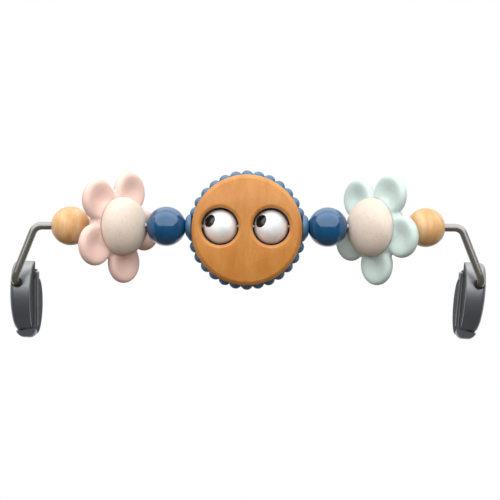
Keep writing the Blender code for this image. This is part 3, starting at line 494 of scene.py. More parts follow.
class Recipe(Nodes):
    """A new material with the nodes that most finishes share."""

    def __init__(self, name):
        self.material = bpy.data.materials.new(name)
        self.material.use_nodes = True
        super().__init__(self.material.node_tree)
        self.shader = self.tree.nodes["Principled BSDF"]
        self.coordinates = self.node("ShaderNodeTexCoord").outputs["Object"]

    def noise(self, stretch, detail, roughness=0.5, distortion=0.0, centre=(0, 0, 0)):
        """Noise on the object's own coordinates, moved and stretched."""
        place = self.node("ShaderNodeMapping", vector_type="POINT")
        place.inputs["Location"].default_value = centre
        place.inputs["Scale"].default_value = stretch
        self.feed(place.inputs["Vector"], self.coordinates)
        made = self.node("ShaderNodeTexNoise")
        names = ("Vector", "Scale", "Detail", "Roughness", "Distortion")
        for name, given in zip(names, (place.outputs["Vector"], 1.0, detail, roughness, distortion)):
            self.feed(made.inputs[name], given)
        return made.outputs["Fac"]

    def ramp(self, value, stops):
        """A colour ramp from (position, colour) stops."""
        made = self.node("ShaderNodeValToRGB")
        band = made.color_ramp
        while len(band.elements) < len(stops):
            band.elements.new(0.5)
        for element, (place, tone) in zip(band.elements, stops):
            element.position = place
            element.color = (*tone, 1.0)
        self.feed(made.inputs["Fac"], value)
        return made.outputs["Color"]

    def clouded(self, tone, scale, dark, light, low=0.35, high=0.65, distortion=0.0, centre=(0, 0, 0)):
        """A tone with soft clouds, from a darker share of it to a lighter one."""
        cloud = self.noise((scale, scale, scale), 2.0, 0.5, distortion, centre)
        deep = tuple(v * dark for v in tone)
        return self.ramp(cloud, [(low, deep), (high, tuple(min(1.0, v * light) for v in tone))])

    def tint(self, under, over, amount):
        """One colour multiplied by another, by a share."""
        made = self.node("ShaderNodeMix", data_type="RGBA", blend_type="MULTIPLY")
        made.inputs["Factor"].default_value = amount
        for socket, given in zip([entry for entry in made.inputs if entry.type == "RGBA"], (under, over)):
            self.feed(socket, given)
        return [entry for entry in made.outputs if entry.type == "RGBA"][0]

    def bump(self, height, depth, strength, before=None):
        made = self.node("ShaderNodeBump")
        made.inputs["Strength"].default_value = strength
        made.inputs["Distance"].default_value = depth
        self.feed(made.inputs["Height"], height)
        if before:
            self.feed(made.inputs["Normal"], before)
        return made.outputs["Normal"]

    def give(self, tone, roughness, normal=None, **sockets):
        """Joins the last nodes to the shader and sets its plain values."""
        self.feed(self.shader.inputs["Base Color"], tone)
        self.feed(self.shader.inputs["Roughness"], roughness)
        if normal:
            self.feed(self.shader.inputs["Normal"], normal)
        for key, value in sockets.items():
            self.shader.inputs[key.replace("_", " ")].default_value = value
        return self.material


def oiled_wood(name, light, dark, stretch, centre):
    """Close-grained wood under a thin clear oil: soft bands, fine fibres and short dark pores."""
    mix = Recipe(name)
    wide = mix.noise([90 * s for s in stretch], 2.0, 0.5, 0.6, centre)
    fibre = mix.noise([520 * s for s in stretch], 4.0, 0.6, 0.2)
    pores = mix.noise([1500 * s for s in stretch], 1.0)
    middle = tuple((a + b) / 2 for a, b in zip(light, dark))
    base = mix.ramp(wide, [(0.32, dark), (0.5, middle), (0.68, light)])
    base = mix.tint(base, mix.ramp(fibre, [(0.3, (0.90, 0.87, 0.84)), (0.6, WHITE)]), 0.7)
    base = mix.tint(base, mix.ramp(pores, [(0.30, (0.76, 0.68, 0.60)), (0.40, WHITE)]), 0.5)
    relief = mix.bump(pores, 0.00002, 0.4, mix.bump(fibre, 0.00003, 0.5))
    return mix.give(
        base, mix.spread(fibre, 0.36, 0.50), relief, Coat_Weight=0.45, Coat_Roughness=0.26, Coat_IOR=1.5,
        Specular_IOR_Level=0.2,
    )


def bare_wood(name, light, dark, centre):
    """Pale, sanded, bare wood: a dusty ground with tiny flecks and faint bands."""
    mix = Recipe(name)
    cloud = mix.noise((60, 60, 34), 3.0, 0.55, 0.4, centre)
    fleck = mix.noise((1500, 1500, 620), 2.0, 0.6)
    dust = mix.noise((3000, 3000, 3000), 2.0, 0.6)
    shade = tuple(0.55 * a + 0.45 * b for a, b in zip(light, dark))
    base = mix.ramp(cloud, [(0.3, shade), (0.62, light)])
    base = mix.tint(base, mix.ramp(fleck, [(0.30, dark), (0.46, WHITE)]), 0.45)
    base = mix.tint(base, mix.ramp(dust, [(0.35, (0.9, 0.88, 0.86)), (0.6, WHITE)]), 0.5)
    relief = mix.bump(fleck, 0.00003, 0.5)
    return mix.give(base, mix.spread(fleck, 0.62, 0.78), relief, Specular_IOR_Level=0.3)


def matt_paint(name, tone, centre):
    """Water-based matt paint on sanded wood: slightly cloudy, with the softest fibre showing."""
    mix = Recipe(name)
    base = mix.clouded(tone, 45, 0.93, 1.035, 0.3, 0.7, 0.5, centre)
    fibre = mix.noise((900, 900, 240), 3.0, 0.6)
    base = mix.tint(base, mix.ramp(fibre, [(0.3, (0.955, 0.95, 0.945)), (0.6, WHITE)]), 0.6)
    relief = mix.bump(fibre, 0.00002, 0.4)
    return mix.give(base, mix.spread(fibre, 0.50, 0.62), relief, Specular_IOR_Level=0.35)


def gloss_lacquer(name, tone, centre, shine=0.09, coat=1.0):
    """Thick clear lacquer over paint, with the faint waviness of a dipped coat."""
    mix = Recipe(name)
    base = mix.clouded(tone, 70, 0.86, 1.12, centre=centre)
    peel = mix.noise((420, 420, 420), 1.0)
    relief = mix.bump(peel, 0.00001, 0.25)
    return mix.give(
        base, mix.spread(peel, 0.20, 0.28), relief, Coat_Weight=coat, Coat_Roughness=shine, Coat_IOR=1.58,
        Specular_IOR_Level=0.1,
    )


def satin_paint(name, tone):
    """Satin paint over wood, with soft clouding and a fine grain in its shine."""
    mix = Recipe(name)
    base = mix.clouded(tone, 80, 0.88, 1.10, 0.32, 0.68, 0.4)
    grain = mix.noise((1100, 1100, 500), 3.0, 0.6)
    base = mix.tint(base, mix.ramp(grain, [(0.3, (0.9, 0.91, 0.92)), (0.6, WHITE)]), 0.5)
    relief = mix.bump(grain, 0.00002, 0.4)
    return mix.give(base, mix.spread(grain, 0.34, 0.46), relief, Specular_IOR_Level=0.5)


def moulded_plastic(name, tone):
    """Satin moulded plastic with a fine spark-eroded texture."""
    mix = Recipe(name)
    base = mix.clouded(tone, 60, 0.92, 1.06)
    grain = mix.noise((2600, 2600, 2600), 2.0)
    relief = mix.bump(grain, 0.00004, 0.35)
    return mix.give(
        base, mix.spread(grain, 0.36, 0.44), relief, Specular_IOR_Level=1.0, Coat_Weight=1.0,
        Coat_Roughness=0.36, Coat_IOR=2.3,
    )


def matt_pebbled(name, tone):
    """Matt moulded finish with a faint pebbled grain, used for the collars and for the painted shade on the
    clips' inward faces.
    """
    mix = Recipe(name)
    base = mix.clouded(tone, 90, 0.85, 1.12)
    grain = mix.noise((1900, 1900, 1900), 2.0)
    relief = mix.bump(grain, 0.00005, 0.4)
    return mix.give(base, mix.spread(grain, 0.60, 0.72), relief, Specular_IOR_Level=0.3)


def satin_rod(name, tone):
    """Powder-coated steel with a satin shine and a very fine orange peel."""
    mix = Recipe(name)
    base = mix.clouded(tone, 110, 0.93, 1.05)
    grain = mix.noise((1600, 2400, 2400), 2.0)
    relief = mix.bump(grain, 0.00002, 0.3)
    rough = mix.spread(grain, 0.30, 0.40)
    return mix.give(base, rough, relief, Coat_Weight=1.0, Coat_Roughness=0.2, Coat_IOR=2.4)


def drawn_steel(name, tone):
    """Plain drawn steel wire, with fine lengthwise scratches."""
    mix = Recipe(name)
    scratch = mix.noise((3000, 900, 3000), 3.0, 0.6)
    base = mix.ramp(scratch, [(0.3, tuple(v * 0.8 for v in tone)), (0.65, tone)])
    relief = mix.bump(scratch, 0.00001, 0.4)
    return mix.give(base, mix.spread(scratch, 0.25, 0.42), relief, Metallic=1.0)


class TOYBAR_OT_rod(bpy.types.Operator):
    """Bends the rod: straight bar, two corners, two legs and two tips that turn back into the clips"""

    bl_idname = "toybar.rod"
    bl_label = "Bent Rod"

    def execute(self, context):
        sizes = context.scene.toybar_rod
        corners = []
        for side_name in ("left", "right"):
            hole = joint_place(side_name + "_clip_swivel")
            inwards = joint_axis(side_name + "_clip_swivel")
            end = [hole + inwards * sizes.tip_depth, hole - inwards * sizes.standoff]
            end.append(Vector((SIDES[side_name] * sizes.half_span, BAR.y, BAR.z)))
            corners.extend(end if side_name == "left" else reversed(end))
        bends = [0, sizes.elbow_radius, sizes.corner_radius, sizes.corner_radius, sizes.elbow_radius, 0]
        first = (corners[1] - corners[0]).normalized()
        deselect()
        bpy.ops.mesh.primitive_circle_add(vertices=40, radius=sizes.radius, fill_type="NOTHING")
        piece = named("rod_bar")
        settle(piece, Matrix.Translation(corners[0]) @ facing(first))
        edit(piece, "EDGE")
        here = corners[0]
        for i in range(1, len(corners)):
            onward = (corners[i] - corners[i - 1]).normalized()
            after = (corners[i + 1] - corners[i]).normalized() if bends[i] else onward
            angle = onward.angle(after) if bends[i] else 0.0
            cut_back = bends[i] * tan(angle / 2)
            there = corners[i] - onward * cut_back
            for part in range(3):
                bpy.ops.mesh.extrude_region_move(TRANSFORM_OT_translate={"value": (there - here) / 3})
            if bends[i]:
                axis = onward.cross(after).normalized()
                centre = there + axis.cross(onward) * bends[i]
                bpy.ops.mesh.spin(steps=14, angle=-angle, center=centre, axis=axis)
                there = corners[i] + after * cut_back
            here = there
        bpy.ops.mesh.edge_face_add()
        bpy.ops.mesh.select_all(action="DESELECT")
        bpy.ops.mesh.select_non_manifold()
        bpy.ops.mesh.edge_face_add()
        close(piece)
        smooth(piece)
        finish(piece, "rod", "rod_steel", satin_rod("rod_satin", tuple(sizes.paint)), "bent_rod")
        return {"FINISHED"}


class TOYBAR_OT_collars(bpy.types.Operator):
    """Turns the two collars that the rod wears just in front of the clips"""

    bl_idname = "toybar.collars"
    bl_label = "Rod Collars"

    def execute(self, context):
        sizes = context.scene.toybar_rod
        bore = context.scene.toybar_bead.bore
        paint = matt_pebbled("collar_matt", tuple(sizes.collar_paint))
        half = sizes.collar_length / 2
        edge = half / 2
        rim = sizes.collar_radius - edge
        outline = arc((rim, half - edge), edge, pi / 2, 0, 4)
        outline.extend(arc((rim, edge - half), edge, 0, -pi / 2, 4))
        outline.append((bore, -half))
        outline.append((bore, half))
        outline.append(outline[0])
        for name in SIDES:
            tip = joint_axis(name + "_clip_swivel")
            middle = joint_place(name + "_clip_swivel") - tip * (sizes.collar_standoff + half)
            piece = turned(name + "_collar_ring", outline, 48, tip, middle)
            smooth(piece)
            finish(piece, "rod", "rod_steel", paint, name + "_rod_collar")
        return {"FINISHED"}


class TOYBAR_OT_end_beads(bpy.types.Operator):
    """Turns the amber wooden balls at both ends, each recessed for its hidden stop"""

    bl_idname = "toybar.end_beads"
    bl_label = "Amber Balls"

    def execute(self, context):
        sizes = context.scene.toybar_bead
        for name, side in SIDES.items():
            place = joint_place(name + "_end_bead_spin")
            outwards = ALONG * side
            wide = sizes.bore + sizes.mouth
            first = pi / 2 - asin(sizes.stop_recess / sizes.radius)
            points = arc((0, 0), sizes.radius, first, asin(wide / sizes.radius) - pi / 2, 44)
            half = sqrt(sizes.radius**2 - wide**2)
            top = sqrt(sizes.radius**2 - sizes.stop_recess**2)
            points.extend(arc((wide, sizes.mouth - half), sizes.mouth, -pi / 2, -pi, 4)[1:])
            points.append((sizes.bore, top - sizes.stop_depth))
            points.append((sizes.stop_recess, top - sizes.stop_depth))
            points.append(points[0])
            piece = turned(name + "_amber_ball", points, 96, outwards, place)
            smooth(piece)
            tones = (tuple(sizes.amber_light), tuple(sizes.amber_dark))
            wood = oiled_wood(name + "_amber_oiled", *tones, (1.0, 0.5, 0.16), tuple(place))
            finish(piece, name + "_end", "amber_wood", wood, name + "_end_bead")
        return {"FINISHED"}


class TOYBAR_OT_blue_beads(bpy.types.Operator):
    """Turns the two balls dipped in glossy blue lacquer"""

    bl_idname = "toybar.blue_beads"
    bl_label = "Blue Balls"

    def execute(self, context):
        sizes = context.scene.toybar_bead
        outline = ball_outline(sizes.blue_radius, sizes.bore, sizes.mouth / 2)
        outline.append(outline[0])
        for name in SIDES:
            place = joint_place(name + "_blue_bead_spin")
            piece = turned(name + "_blue_ball", outline, 96, ALONG, place)
            smooth(piece)
            lacquer = gloss_lacquer(name + "_blue_lacquer", tuple(sizes.blue), tuple(place))
            finish(piece, name + "_blue", "gloss_blue", lacquer, name + "_blue_bead")
        return {"FINISHED"}


def petal_outline(sizes):
    """A round petal, softly dished on both faces, with a thick rounded rim."""
    rim = sizes.rim / 2
    crest = sizes.petal_radius - rim
    upper = []
    for i in range(15):
        share = i / 14
        rise = (1 - cos(pi * share)) / 2
        upper.append((crest * share, rim - sizes.dish * (1 - rise)))
    upper.extend(arc((crest, 0), rim, pi / 2, -pi / 2, 16)[1:])
    upper.extend([(radius, -height) for radius, height in reversed(upper[:14])])
    return upper


def hub_outline(sizes):
    """The middle of a flower, flat under the domes and thinning out under the petals' dishes."""
    top = sizes.hub_thickness / 2
    thin = sizes.rim / 2 - sizes.dish
    upper = [(0, top), (sizes.hub_radius, top)]
    for i in range(1, 7):
        share = i / 6
        drop = (1 - cos(pi * share)) / 2
        upper.append((sizes.hub_radius + HUB_SLOPE * share, top + (thin * HUB_THINNING - top) * drop))
    lower = [(radius, -height) for radius, height in reversed(upper)]
    return upper + lower


class TOYBAR_OT_flowers(bpy.types.Operator):
    """Moulds the two petal flowers and turns the pale wooden domes glued to their fronts and backs"""

    bl_idname = "toybar.flowers"
    bl_label = "Petal Flowers"

    def petals(self, name, sizes, way, place, start):
        across = UP.cross(way)
        offset = (across * cos(start) + UP * sin(start)) * sizes.petal_centre
        petal = turned(name + "_petals_moulded", petal_outline(sizes), 72, way, place + offset)
        edit(petal)
        bpy.ops.mesh.spin(steps=4, dupli=True, angle=2 * pi * 4 / 5, center=place, axis=way)
        bpy.ops.object.mode_set(mode="OBJECT")
        hub = turned(name + "_hub", hub_outline(sizes), 72, way, place)
        deselect()
        hub.select_set(True)
        petal.select_set(True)
        bpy.context.view_layer.objects.active = petal
        bpy.ops.object.join()
        modify(petal, "REMESH", mode="VOXEL", voxel_size=PETAL_VOXEL)
        modify(petal, "SMOOTH", factor=0.5, iterations=PETAL_SOFTENING)
        return petal

    def dome(self, name, sizes, way, place, reach, bore):
        base = sizes.hub_thickness / 2 + sizes.glue_gap
        high = sizes.dome_height - sizes.dome_edge
        angles = [pi / 2 * i / 36 for i in range(37)]
        foot = base + sizes.dome_edge
        outline = [(sizes.dome_radius * sin(angle), foot + high * cos(angle)) for angle in angles]
        outline.append((sizes.dome_radius, base))
        outline.append((0, base))
        piece = turned(name, outline, 96, way, place)
        carve(piece, drill("dome_bore", place - ALONG * reach, place + ALONG * reach, bore))
        smooth(piece)
        return piece

    def execute(self, context):
        sizes = context.scene.toybar_flower
        bore = context.scene.toybar_bead.bore
        looks = {
            "left": (sizes.left_start, "petal_pink", tuple(sizes.pink)),
            "right": (sizes.right_start, "petal_mint", tuple(sizes.mint)),
        }
        reach = sizes.dome_radius + sizes.dome_height + sizes.hub_thickness
        for name, side in SIDES.items():
            start, slot, tone = looks[name]
            body = name + "_flower"
            place = joint_place(body + "_spin")
            turn = sizes.turn if name == "left" else sizes.right_turn
            way = Vector((-side * sin(turn), -cos(turn), 0))
            petals = self.petals(name, sizes, way, place, start)
            carve(petals, drill("petal_bore", place - ALONG * reach, place + ALONG * reach, bore))
            for out in (way, -way):
                low = place + out * (sizes.hub_thickness / 2 - sizes.groove)
                seat = sizes.dome_radius + sizes.groove
                carve(petals, drill("dome_seat", low, place + out * reach, seat, 96))
            smooth(petals, radians(60))
            finish(petals, body, slot, matt_paint(slot + "_matt", tone, tuple(place)), body + "_petals")
            tones = (tuple(sizes.birch_light), tuple(sizes.birch_dark))
            for where, out in (("front", way), ("back", -way)):
                dome = self.dome(f"{name}_{where}_dome_turned", sizes, out, place, reach, bore)
                wood = bare_wood(f"{name}_{where}_birch", *tones, tuple(place + out * 0.1))
                finish(dome, body, "pale_wood", wood, f"{body}_{where}_dome")
        return {"FINISHED"}


def eye_places():
    """Middle of each eye, on the rod's line."""
    return {name: joint_place(name + "_eye_roll") for name in SIDES}


def dowel_places(centre, sizes):
    """Middle of each hidden dowel, in the wheel's middle plane."""
    angles = [pi / 4 + pi / 2 * i for i in range(4)]
    return [centre + Vector((sin(angle), 0, cos(angle))) * sizes.dowel_circle for angle in angles]


class TOYBAR_OT_discs(bpy.types.Operator):
    """Turns the wheel's two wooden discs, rounds them over and opens the flared eye holes"""

    bl_idname = "toybar.discs"
    bl_label = "Wheel Discs"

    def disc(self, name, sizes, way):
        face = sizes.disc_back + sizes.disc_thickness
        centre = BAR - UP * sizes.drop
        deselect()
        bpy.ops.mesh.primitive_cylinder_add(
            vertices=224, radius=sizes.disc_radius, depth=sizes.disc_thickness
        )
        piece = named(name)
        half = sizes.disc_thickness / 2
        round_rim(piece, 2, half, sizes.edge_round, 12, sizes.edge_profile)
        round_rim(piece, 2, -half, sizes.inner_round, 4, sizes.edge_profile)
        settle(piece, Matrix.Translation(centre + way * (face - sizes.disc_thickness / 2)) @ facing(way))
        outer = sizes.eye_hole + sizes.eye_flare
        for eye in eye_places().values():
            outline = [(0, face + OVERCUT)]
            flare = arc((outer, face - sizes.eye_flare), sizes.eye_flare, radians(100), pi, 12)
            outline.append((flare[0][0], face + OVERCUT))
            outline.extend(flare)
            outline.append((sizes.eye_hole, -face))
            outline.append((0, -face))
            carve(piece, turned("eye_cutter", outline, 128, way, eye))
        for spot in dowel_places(centre, sizes):
            start = spot + way * (sizes.disc_back - DOWEL_OVERCUT)
            end = spot + way * (sizes.disc_back + sizes.dowel_depth)
            carve(piece, drill("dowel_cutter", start, end, sizes.dowel_hole))
        smooth(piece, radians(28))
        return piece

    def execute(self, context):
        sizes = context.scene.toybar_wheel
        tones = (tuple(sizes.wood_light), tuple(sizes.wood_dark))
        for where, way in (("front", TO_CHILD), ("back", -TO_CHILD)):
            piece = self.disc(f"{where}_disc_turned", sizes, way)
            wood = oiled_wood(f"{where}_disc_oiled", *tones, (1.0, 0.6, 0.30), tuple(BAR + way * 0.2))
            finish(piece, "wheel", "orange_wood", wood, f"wheel_{where}_disc")
        return {"FINISHED"}


class TOYBAR_OT_ring(bpy.types.Operator):
    """Builds the scalloped blue ring from a core and a circle of bumps, with a button at each side"""

    bl_idname = "toybar.ring"
    bl_label = "Scalloped Ring"

    def execute(self, context):
        sizes = context.scene.toybar_wheel
        bore = context.scene.toybar_bead.bore
        centre = BAR - UP * sizes.drop
        deselect()
        bpy.ops.mesh.primitive_uv_sphere_add(segments=40, ring_count=24, radius=sizes.scallop_radius)
        bumps = named("scallop_bumps")
        settle(bumps, Matrix.Translation(centre + UP * sizes.scallop_centre) @ facing(TO_CHILD))
        edit(bumps)
        for way in (-1, 1):
            bpy.ops.mesh.select_all(action="SELECT")
            plane = centre + Vector((0, way * sizes.ring_half_width, 0))
            bpy.ops.mesh.bisect(plane_co=plane, plane_no=(0, way, 0), use_fill=True, clear_outer=True)
        bpy.ops.mesh.select_all(action="SELECT")
        whole = 2 * pi * (sizes.scallops - 1) / sizes.scallops
        bpy.ops.mesh.spin(steps=sizes.scallops - 1, dupli=True, angle=whole, center=centre, axis=(0, 1, 0))
        bpy.ops.object.mode_set(mode="OBJECT")
        deselect()
        depth = 2 * sizes.ring_half_width - CORE_INSET
        bpy.ops.mesh.primitive_cylinder_add(vertices=240, radius=sizes.disc_radius, depth=depth)
        piece = named("scalloped_ring_painted")
        settle(piece, Matrix.Translation(centre) @ facing(TO_CHILD))
        carve(piece, bumps, "UNION", overlapping=True)
        foot = sizes.disc_radius + sizes.boss_gap
        mouth = bore + BOSS_MOUTH
        for side in SIDES.values():
            outline = []
            for i in range(19):
                share = i / 18
                radius = mouth + (sizes.boss_radius - mouth) * sin(pi / 2 * share)
                outline.append((radius, foot + sizes.boss_height * cos(pi / 2 * share) ** BOSS_FULLNESS))
            outline.append((sizes.ring_half_width - BOSS_NECK_INSET, foot))
            outline.append((sizes.ring_half_width - BOSS_NECK_INSET, foot - BOSS_ROOT))
            outline.append((0, foot - BOSS_ROOT))
            outline.append((0, foot + sizes.boss_height))
            outline.append(outline[0])
            carve(piece, turned("boss", outline, 72, ALONG * side, BAR), "UNION")
        deep = Vector((0, sizes.ring_half_width + OVERCUT, 0))
        lip = Vector((0, sizes.ring_half_width - sizes.ring_lip, 0))
        snug = sqrt(context.scene.toybar_eye.radius ** 2 - lip.length ** 2) + sizes.ring_fit
        for eye in eye_places().values():
            carve(piece, drill("window", eye - deep, eye + deep, snug, 96))
            carve(piece, drill("front_window", eye - deep, eye + lip, sizes.eye_hole + sizes.ring_fit, 96))
        long = ALONG * (foot + sizes.boss_height + OVERCUT)
        carve(piece, drill("ring_bore", BAR - long, BAR + long, bore))
        for spot in dowel_places(centre, sizes):
            carve(piece, drill("dowel_cutter", spot - deep, spot + deep, sizes.dowel_hole))
        smooth(piece, radians(40))
        paint = satin_paint("ring_satin", tuple(sizes.ring_blue))
        finish(piece, "wheel", "ring_blue", paint, "scalloped_ring")
        return {"FINISHED"}


class TOYBAR_OT_eyes(bpy.types.Operator):
    """Turns the white eyeballs and sets a glossy black pupil into each"""

    bl_idname = "toybar.eyes"
    bl_label = "Eyes"

    def execute(self, context):
        sizes = context.scene.toybar_eye
        bore = context.scene.toybar_bead.bore
        gaze = Vector(sizes.gaze).normalized()
        outline = ball_outline(sizes.radius, bore, EYE_MOUTH)
        outline.append(outline[0])
        floor = sqrt(sizes.radius**2 - sizes.pupil_radius**2) - sizes.pupil_depth
        white = gloss_lacquer("eye_white_gloss", tuple(sizes.white), (0, 0, 0), 0.2, 0.2)
        black = gloss_lacquer("pupil_gloss", tuple(sizes.black), (0, 0, 0), 0.16, 0.7)
        for name, place in eye_places().items():
            ball = turned(name + "_eyeball_turned", outline, 96, ALONG, place)
            start = place + gaze * (floor - PUPIL_GLUE)
            end = place + gaze * (sizes.radius + PUPIL_OVERCUT)
            carve(ball, drill("pupil_seat", start, end, sizes.pupil_radius + PUPIL_FIT, 96))
            smooth(ball)
            finish(ball, name + "_eye", "eye_white", white, name + "_eyeball")
            reach = asin(sizes.pupil_radius / sizes.radius)
            lens = arc((0, 0), sizes.radius + PUPIL_PROUD, pi / 2, pi / 2 - reach * PUPIL_SHARE, 14)
            lens.append((sizes.pupil_radius, lens[-1][1] - PUPIL_STEP))
            lens.append((sizes.pupil_radius, floor))
            lens.append((0, floor))
            pupil = turned(name + "_pupil_polished", lens, 72, gaze, place)
            smooth(pupil)
            finish(pupil, name + "_eye", "pupil_black", black, name + "_pupil")
        return {"FINISHED"}


class TOYBAR_OT_clips(bpy.types.Operator):
    """Moulds the two sprung clips: an oval body, and a jaw whose foot curls under it"""

    bl_idname = "toybar.clips"
    bl_label = "Clips"

    def place(self, name, sizes):
        """From a clip's own axes (across from its inner face, rearwards, up) to its place on the rod."""
        side = SIDES[name]
        tip = joint_axis(name + "_clip_swivel")
        lie = Matrix.Rotation(side * sizes.lean, 4, "Y") @ Matrix.Rotation(sizes.tilt, 4, "X")
        lie = Matrix.Rotation(sizes.swing, 4, tip) @ lie @ Matrix.Rotation(side * sizes.toe, 4, "Z")
        middle = (sizes.top - sizes.body_bottom) / 2
        tall = (sizes.top + sizes.body_bottom) / 2
        rim = -sizes.half_depth * sqrt(1 - ((sizes.hole_up - middle) / tall) ** 2)
        hole = Vector((sizes.hole_across, rim, sizes.hole_up))
        mirror = Matrix.Diagonal((side, 1, 1, 1))
        inwards = (lie @ mirror).to_3x3().inverted() @ tip
        swivel = Matrix.Translation(joint_place(name + "_clip_swivel"))
        return swivel @ lie @ mirror @ Matrix.Translation(-hole), hole, inwards

    def oval(self, name, sizes, near, far, top, bottom, outer_round, inner_round, tapered=True):
        """An upright oval slab with rounded rims, whose outer face is slightly curved where asked."""
        tall = (top + bottom) / 2
        deselect()
        bpy.ops.mesh.primitive_cylinder_add(vertices=144, radius=sizes.half_depth, depth=far - near)
        piece = named(name)
        stretch = Matrix.Diagonal((1, 1, tall / sizes.half_depth, 1))
        middle = Matrix.Translation(((near + far) / 2, 0, top - tall))
        settle(piece, middle @ stretch @ Matrix.Rotation(pi / 2, 4, "Y"))
        for face, width, segments in ((far, outer_round, 10), (near, inner_round, 6)):
            if width:
                round_rim(piece, 0, face, width, segments, 0.5)
        if tapered:
            for vertex in piece.data.vertices:
                if vertex.co.x > 0:
                    thinner = (vertex.co.z - sizes.widest) ** 2 / (2 * sizes.taper_radius)
                    vertex.co.x *= 1 - thinner / sizes.thickness
        return piece

    def trim(self, piece, point, normal):
        """Cuts a piece on a plane and drops what lies on the normal's side."""
        edit(piece)
        bpy.ops.mesh.bisect(plane_co=point, plane_no=normal, use_fill=True, clear_outer=True)
        bpy.ops.object.mode_set(mode="OBJECT")

    def block(self, name, low, high, rounding=0.0):
        """A box between two corners with rounded edges."""
        deselect()
        bpy.ops.mesh.primitive_cube_add(size=1)
        piece = named(name)
        span = Vector(high) - Vector(low)
        settle(piece, Matrix.Translation((Vector(high) + Vector(low)) / 2) @ Matrix.Diagonal((*span, 1)))
        if rounding:
            edit(piece, "EDGE")
            bpy.ops.mesh.bevel(offset=rounding, segments=5, profile=0.5, affect="EDGES")
            bpy.ops.object.mode_set(mode="OBJECT")
        return piece

    def soften(self, piece, sizes):
        """Breaks the cut edges, as a mould does."""
        close(piece)
        limits = {"limit_method": "ANGLE", "angle_limit": radians(40), "use_clamp_overlap": True}
        modify(piece, "BEVEL", width=sizes.edge_round, segments=3, **limits)

    def body(self, name, sizes, hole, inwards):
        piece = self.oval(
            name + "_clip_shell", sizes, 0, sizes.thickness, sizes.top, sizes.body_bottom, sizes.outer_round,
            sizes.inner_round,
        )
        slope = Vector((sizes.split_slope, 0, 1)).normalized()
        self.trim(piece, (0, 0, -sizes.split_down), -slope)
        pin = Vector((sizes.pivot_across, 0, -sizes.pivot_down))
        front = Vector((0, -sizes.lug_front, 0))
        back = Vector((0, sizes.lug_width - sizes.lug_front, 0))
        carve(piece, drill("knuckle", pin + front, pin + back, sizes.knuckle, 40), "UNION")
        across = Vector((sizes.knuckle, 0, 0))
        height = sizes.pivot_down - sizes.split_down - sizes.split_slope * sizes.pivot_across + OVERCUT
        rise = Vector((0, 0, height))
        carve(piece, self.block("neck", pin + front - across, pin + back + across + rise), "UNION")
        carve(piece, drill("tip_hole", hole - inwards * OVERCUT, hole + inwards * sizes.hole_depth, TIP_HOLE))
        wide = Vector((0, sizes.half_depth, 0))
        carve(piece, drill("pin_hole", pin - wide, pin + wide, sizes.pin, 32))
        half = sizes.channel_width / 2
        low = (-OVERCUT, sizes.channel_back - half, -sizes.channel_floor)
        high = (sizes.channel_depth, sizes.channel_back + half, sizes.top + OVERCUT)
        carve(piece, self.block("tube_channel", low, high, CHANNEL_ROUND))
        low = (-OVERCUT, 0, -sizes.top - OVERCUT)
        high = (sizes.jaw_step, sizes.half_depth + OVERCUT, sizes.top + OVERCUT)
        carve(piece, self.block("jaw_seat", low, high))
        self.soften(piece, sizes)
        return piece

    def jaw(self, name, sizes):
        outer = sizes.jaw_step - sizes.fit
        inner = outer - sizes.jaw_thickness
        piece = self.oval(
            name + "_jaw_foot", sizes, inner, sizes.thickness, sizes.jaw_top, sizes.jaw_bottom,
            sizes.foot_outer, sizes.foot_inner,
        )
        self.trim(piece, (0, -sizes.foot_front, 0), (0, -1, 0))
        slope = Vector((sizes.split_slope, 0, 1)).normalized()
        self.trim(piece, (0, 0, -sizes.split_down - sizes.split_gap), slope)
        plate = self.oval(
            "plate", sizes, inner, outer, sizes.jaw_top, sizes.plate_bottom, 0, sizes.lip_round, tapered=False
        )
        self.trim(plate, (0, sizes.fit, 0), (0, -1, 0))
        carve(piece, plate, "UNION")
        low = (inner, sizes.fit, -sizes.lip_top)
        high = (outer, sizes.fit + sizes.lip_depth, sizes.lip_top)
        carve(piece, self.block("lip", low, high, sizes.lip_round), "UNION")
        pin = Vector((sizes.pivot_across, 0, -sizes.pivot_down))
        front = Vector((0, -sizes.lug_front - sizes.fit, 0))
        back = Vector((0, sizes.lug_width - sizes.lug_front + sizes.spring_room, 0))
        room = sizes.knuckle + sizes.fit
        carve(piece, drill("knuckle_room", pin + front, pin + back, room, 40))
        across = Vector((room + sizes.lug_room, 0, 0))
        rise = Vector((0, 0, sizes.split_gap + sizes.knuckle + sizes.half_depth))
        carve(piece, self.block("neck_room", pin + front - across, pin + back + across + rise))
        blind = Vector((0, -sizes.pin_front, 0))
        through = Vector((0, sizes.half_depth, 0))
        carve(piece, drill("pin_hole", pin + blind, pin + through, sizes.pin, 32))
        self.soften(piece, sizes)
        # Cuts strips along both edges of the lip, which touch_up gives the painted highlight
        edit(piece)
        for across in (inner + sizes.lip_round, outer - sizes.lip_round):
            bpy.ops.mesh.select_all(action="SELECT")
            bpy.ops.mesh.bisect(plane_co=(across, 0, 0), plane_no=(1, 0, 0))
        bpy.ops.object.mode_set(mode="OBJECT")
        return piece

    def touch_up(self, piece, place, painted_shade, edges, sizes):
        """Painted shade as a darker material on the inward-facing faces, and painted highlight as a paler
        plastic on strips along the jaw's front lip edges.
        """
        piece.data.materials.append(painted_shade)
        piece.data.materials.append(edges)
        turn = place.to_3x3().transposed()
        back = place.inverted()
        outer = sizes.jaw_step - sizes.fit
        inner = outer - sizes.jaw_thickness
        for face in piece.data.polygons:
            normal = turn @ face.normal
            centre = back @ face.center
            # Strips along the lip's edges, where the painted highlight goes
            nearest = min(abs(centre.x - outer), abs(centre.x - inner))
            lip_highlight_strip = centre.x < outer and nearest < sizes.lip_round and centre.z > -sizes.split_down
            # Painted shade: faces turned inward get the darker material
            if normal.x < SHADED_FACE:
                face.material_index = 1
            elif normal.y < FRONT_FACE and lip_highlight_strip:
                face.material_index = 2

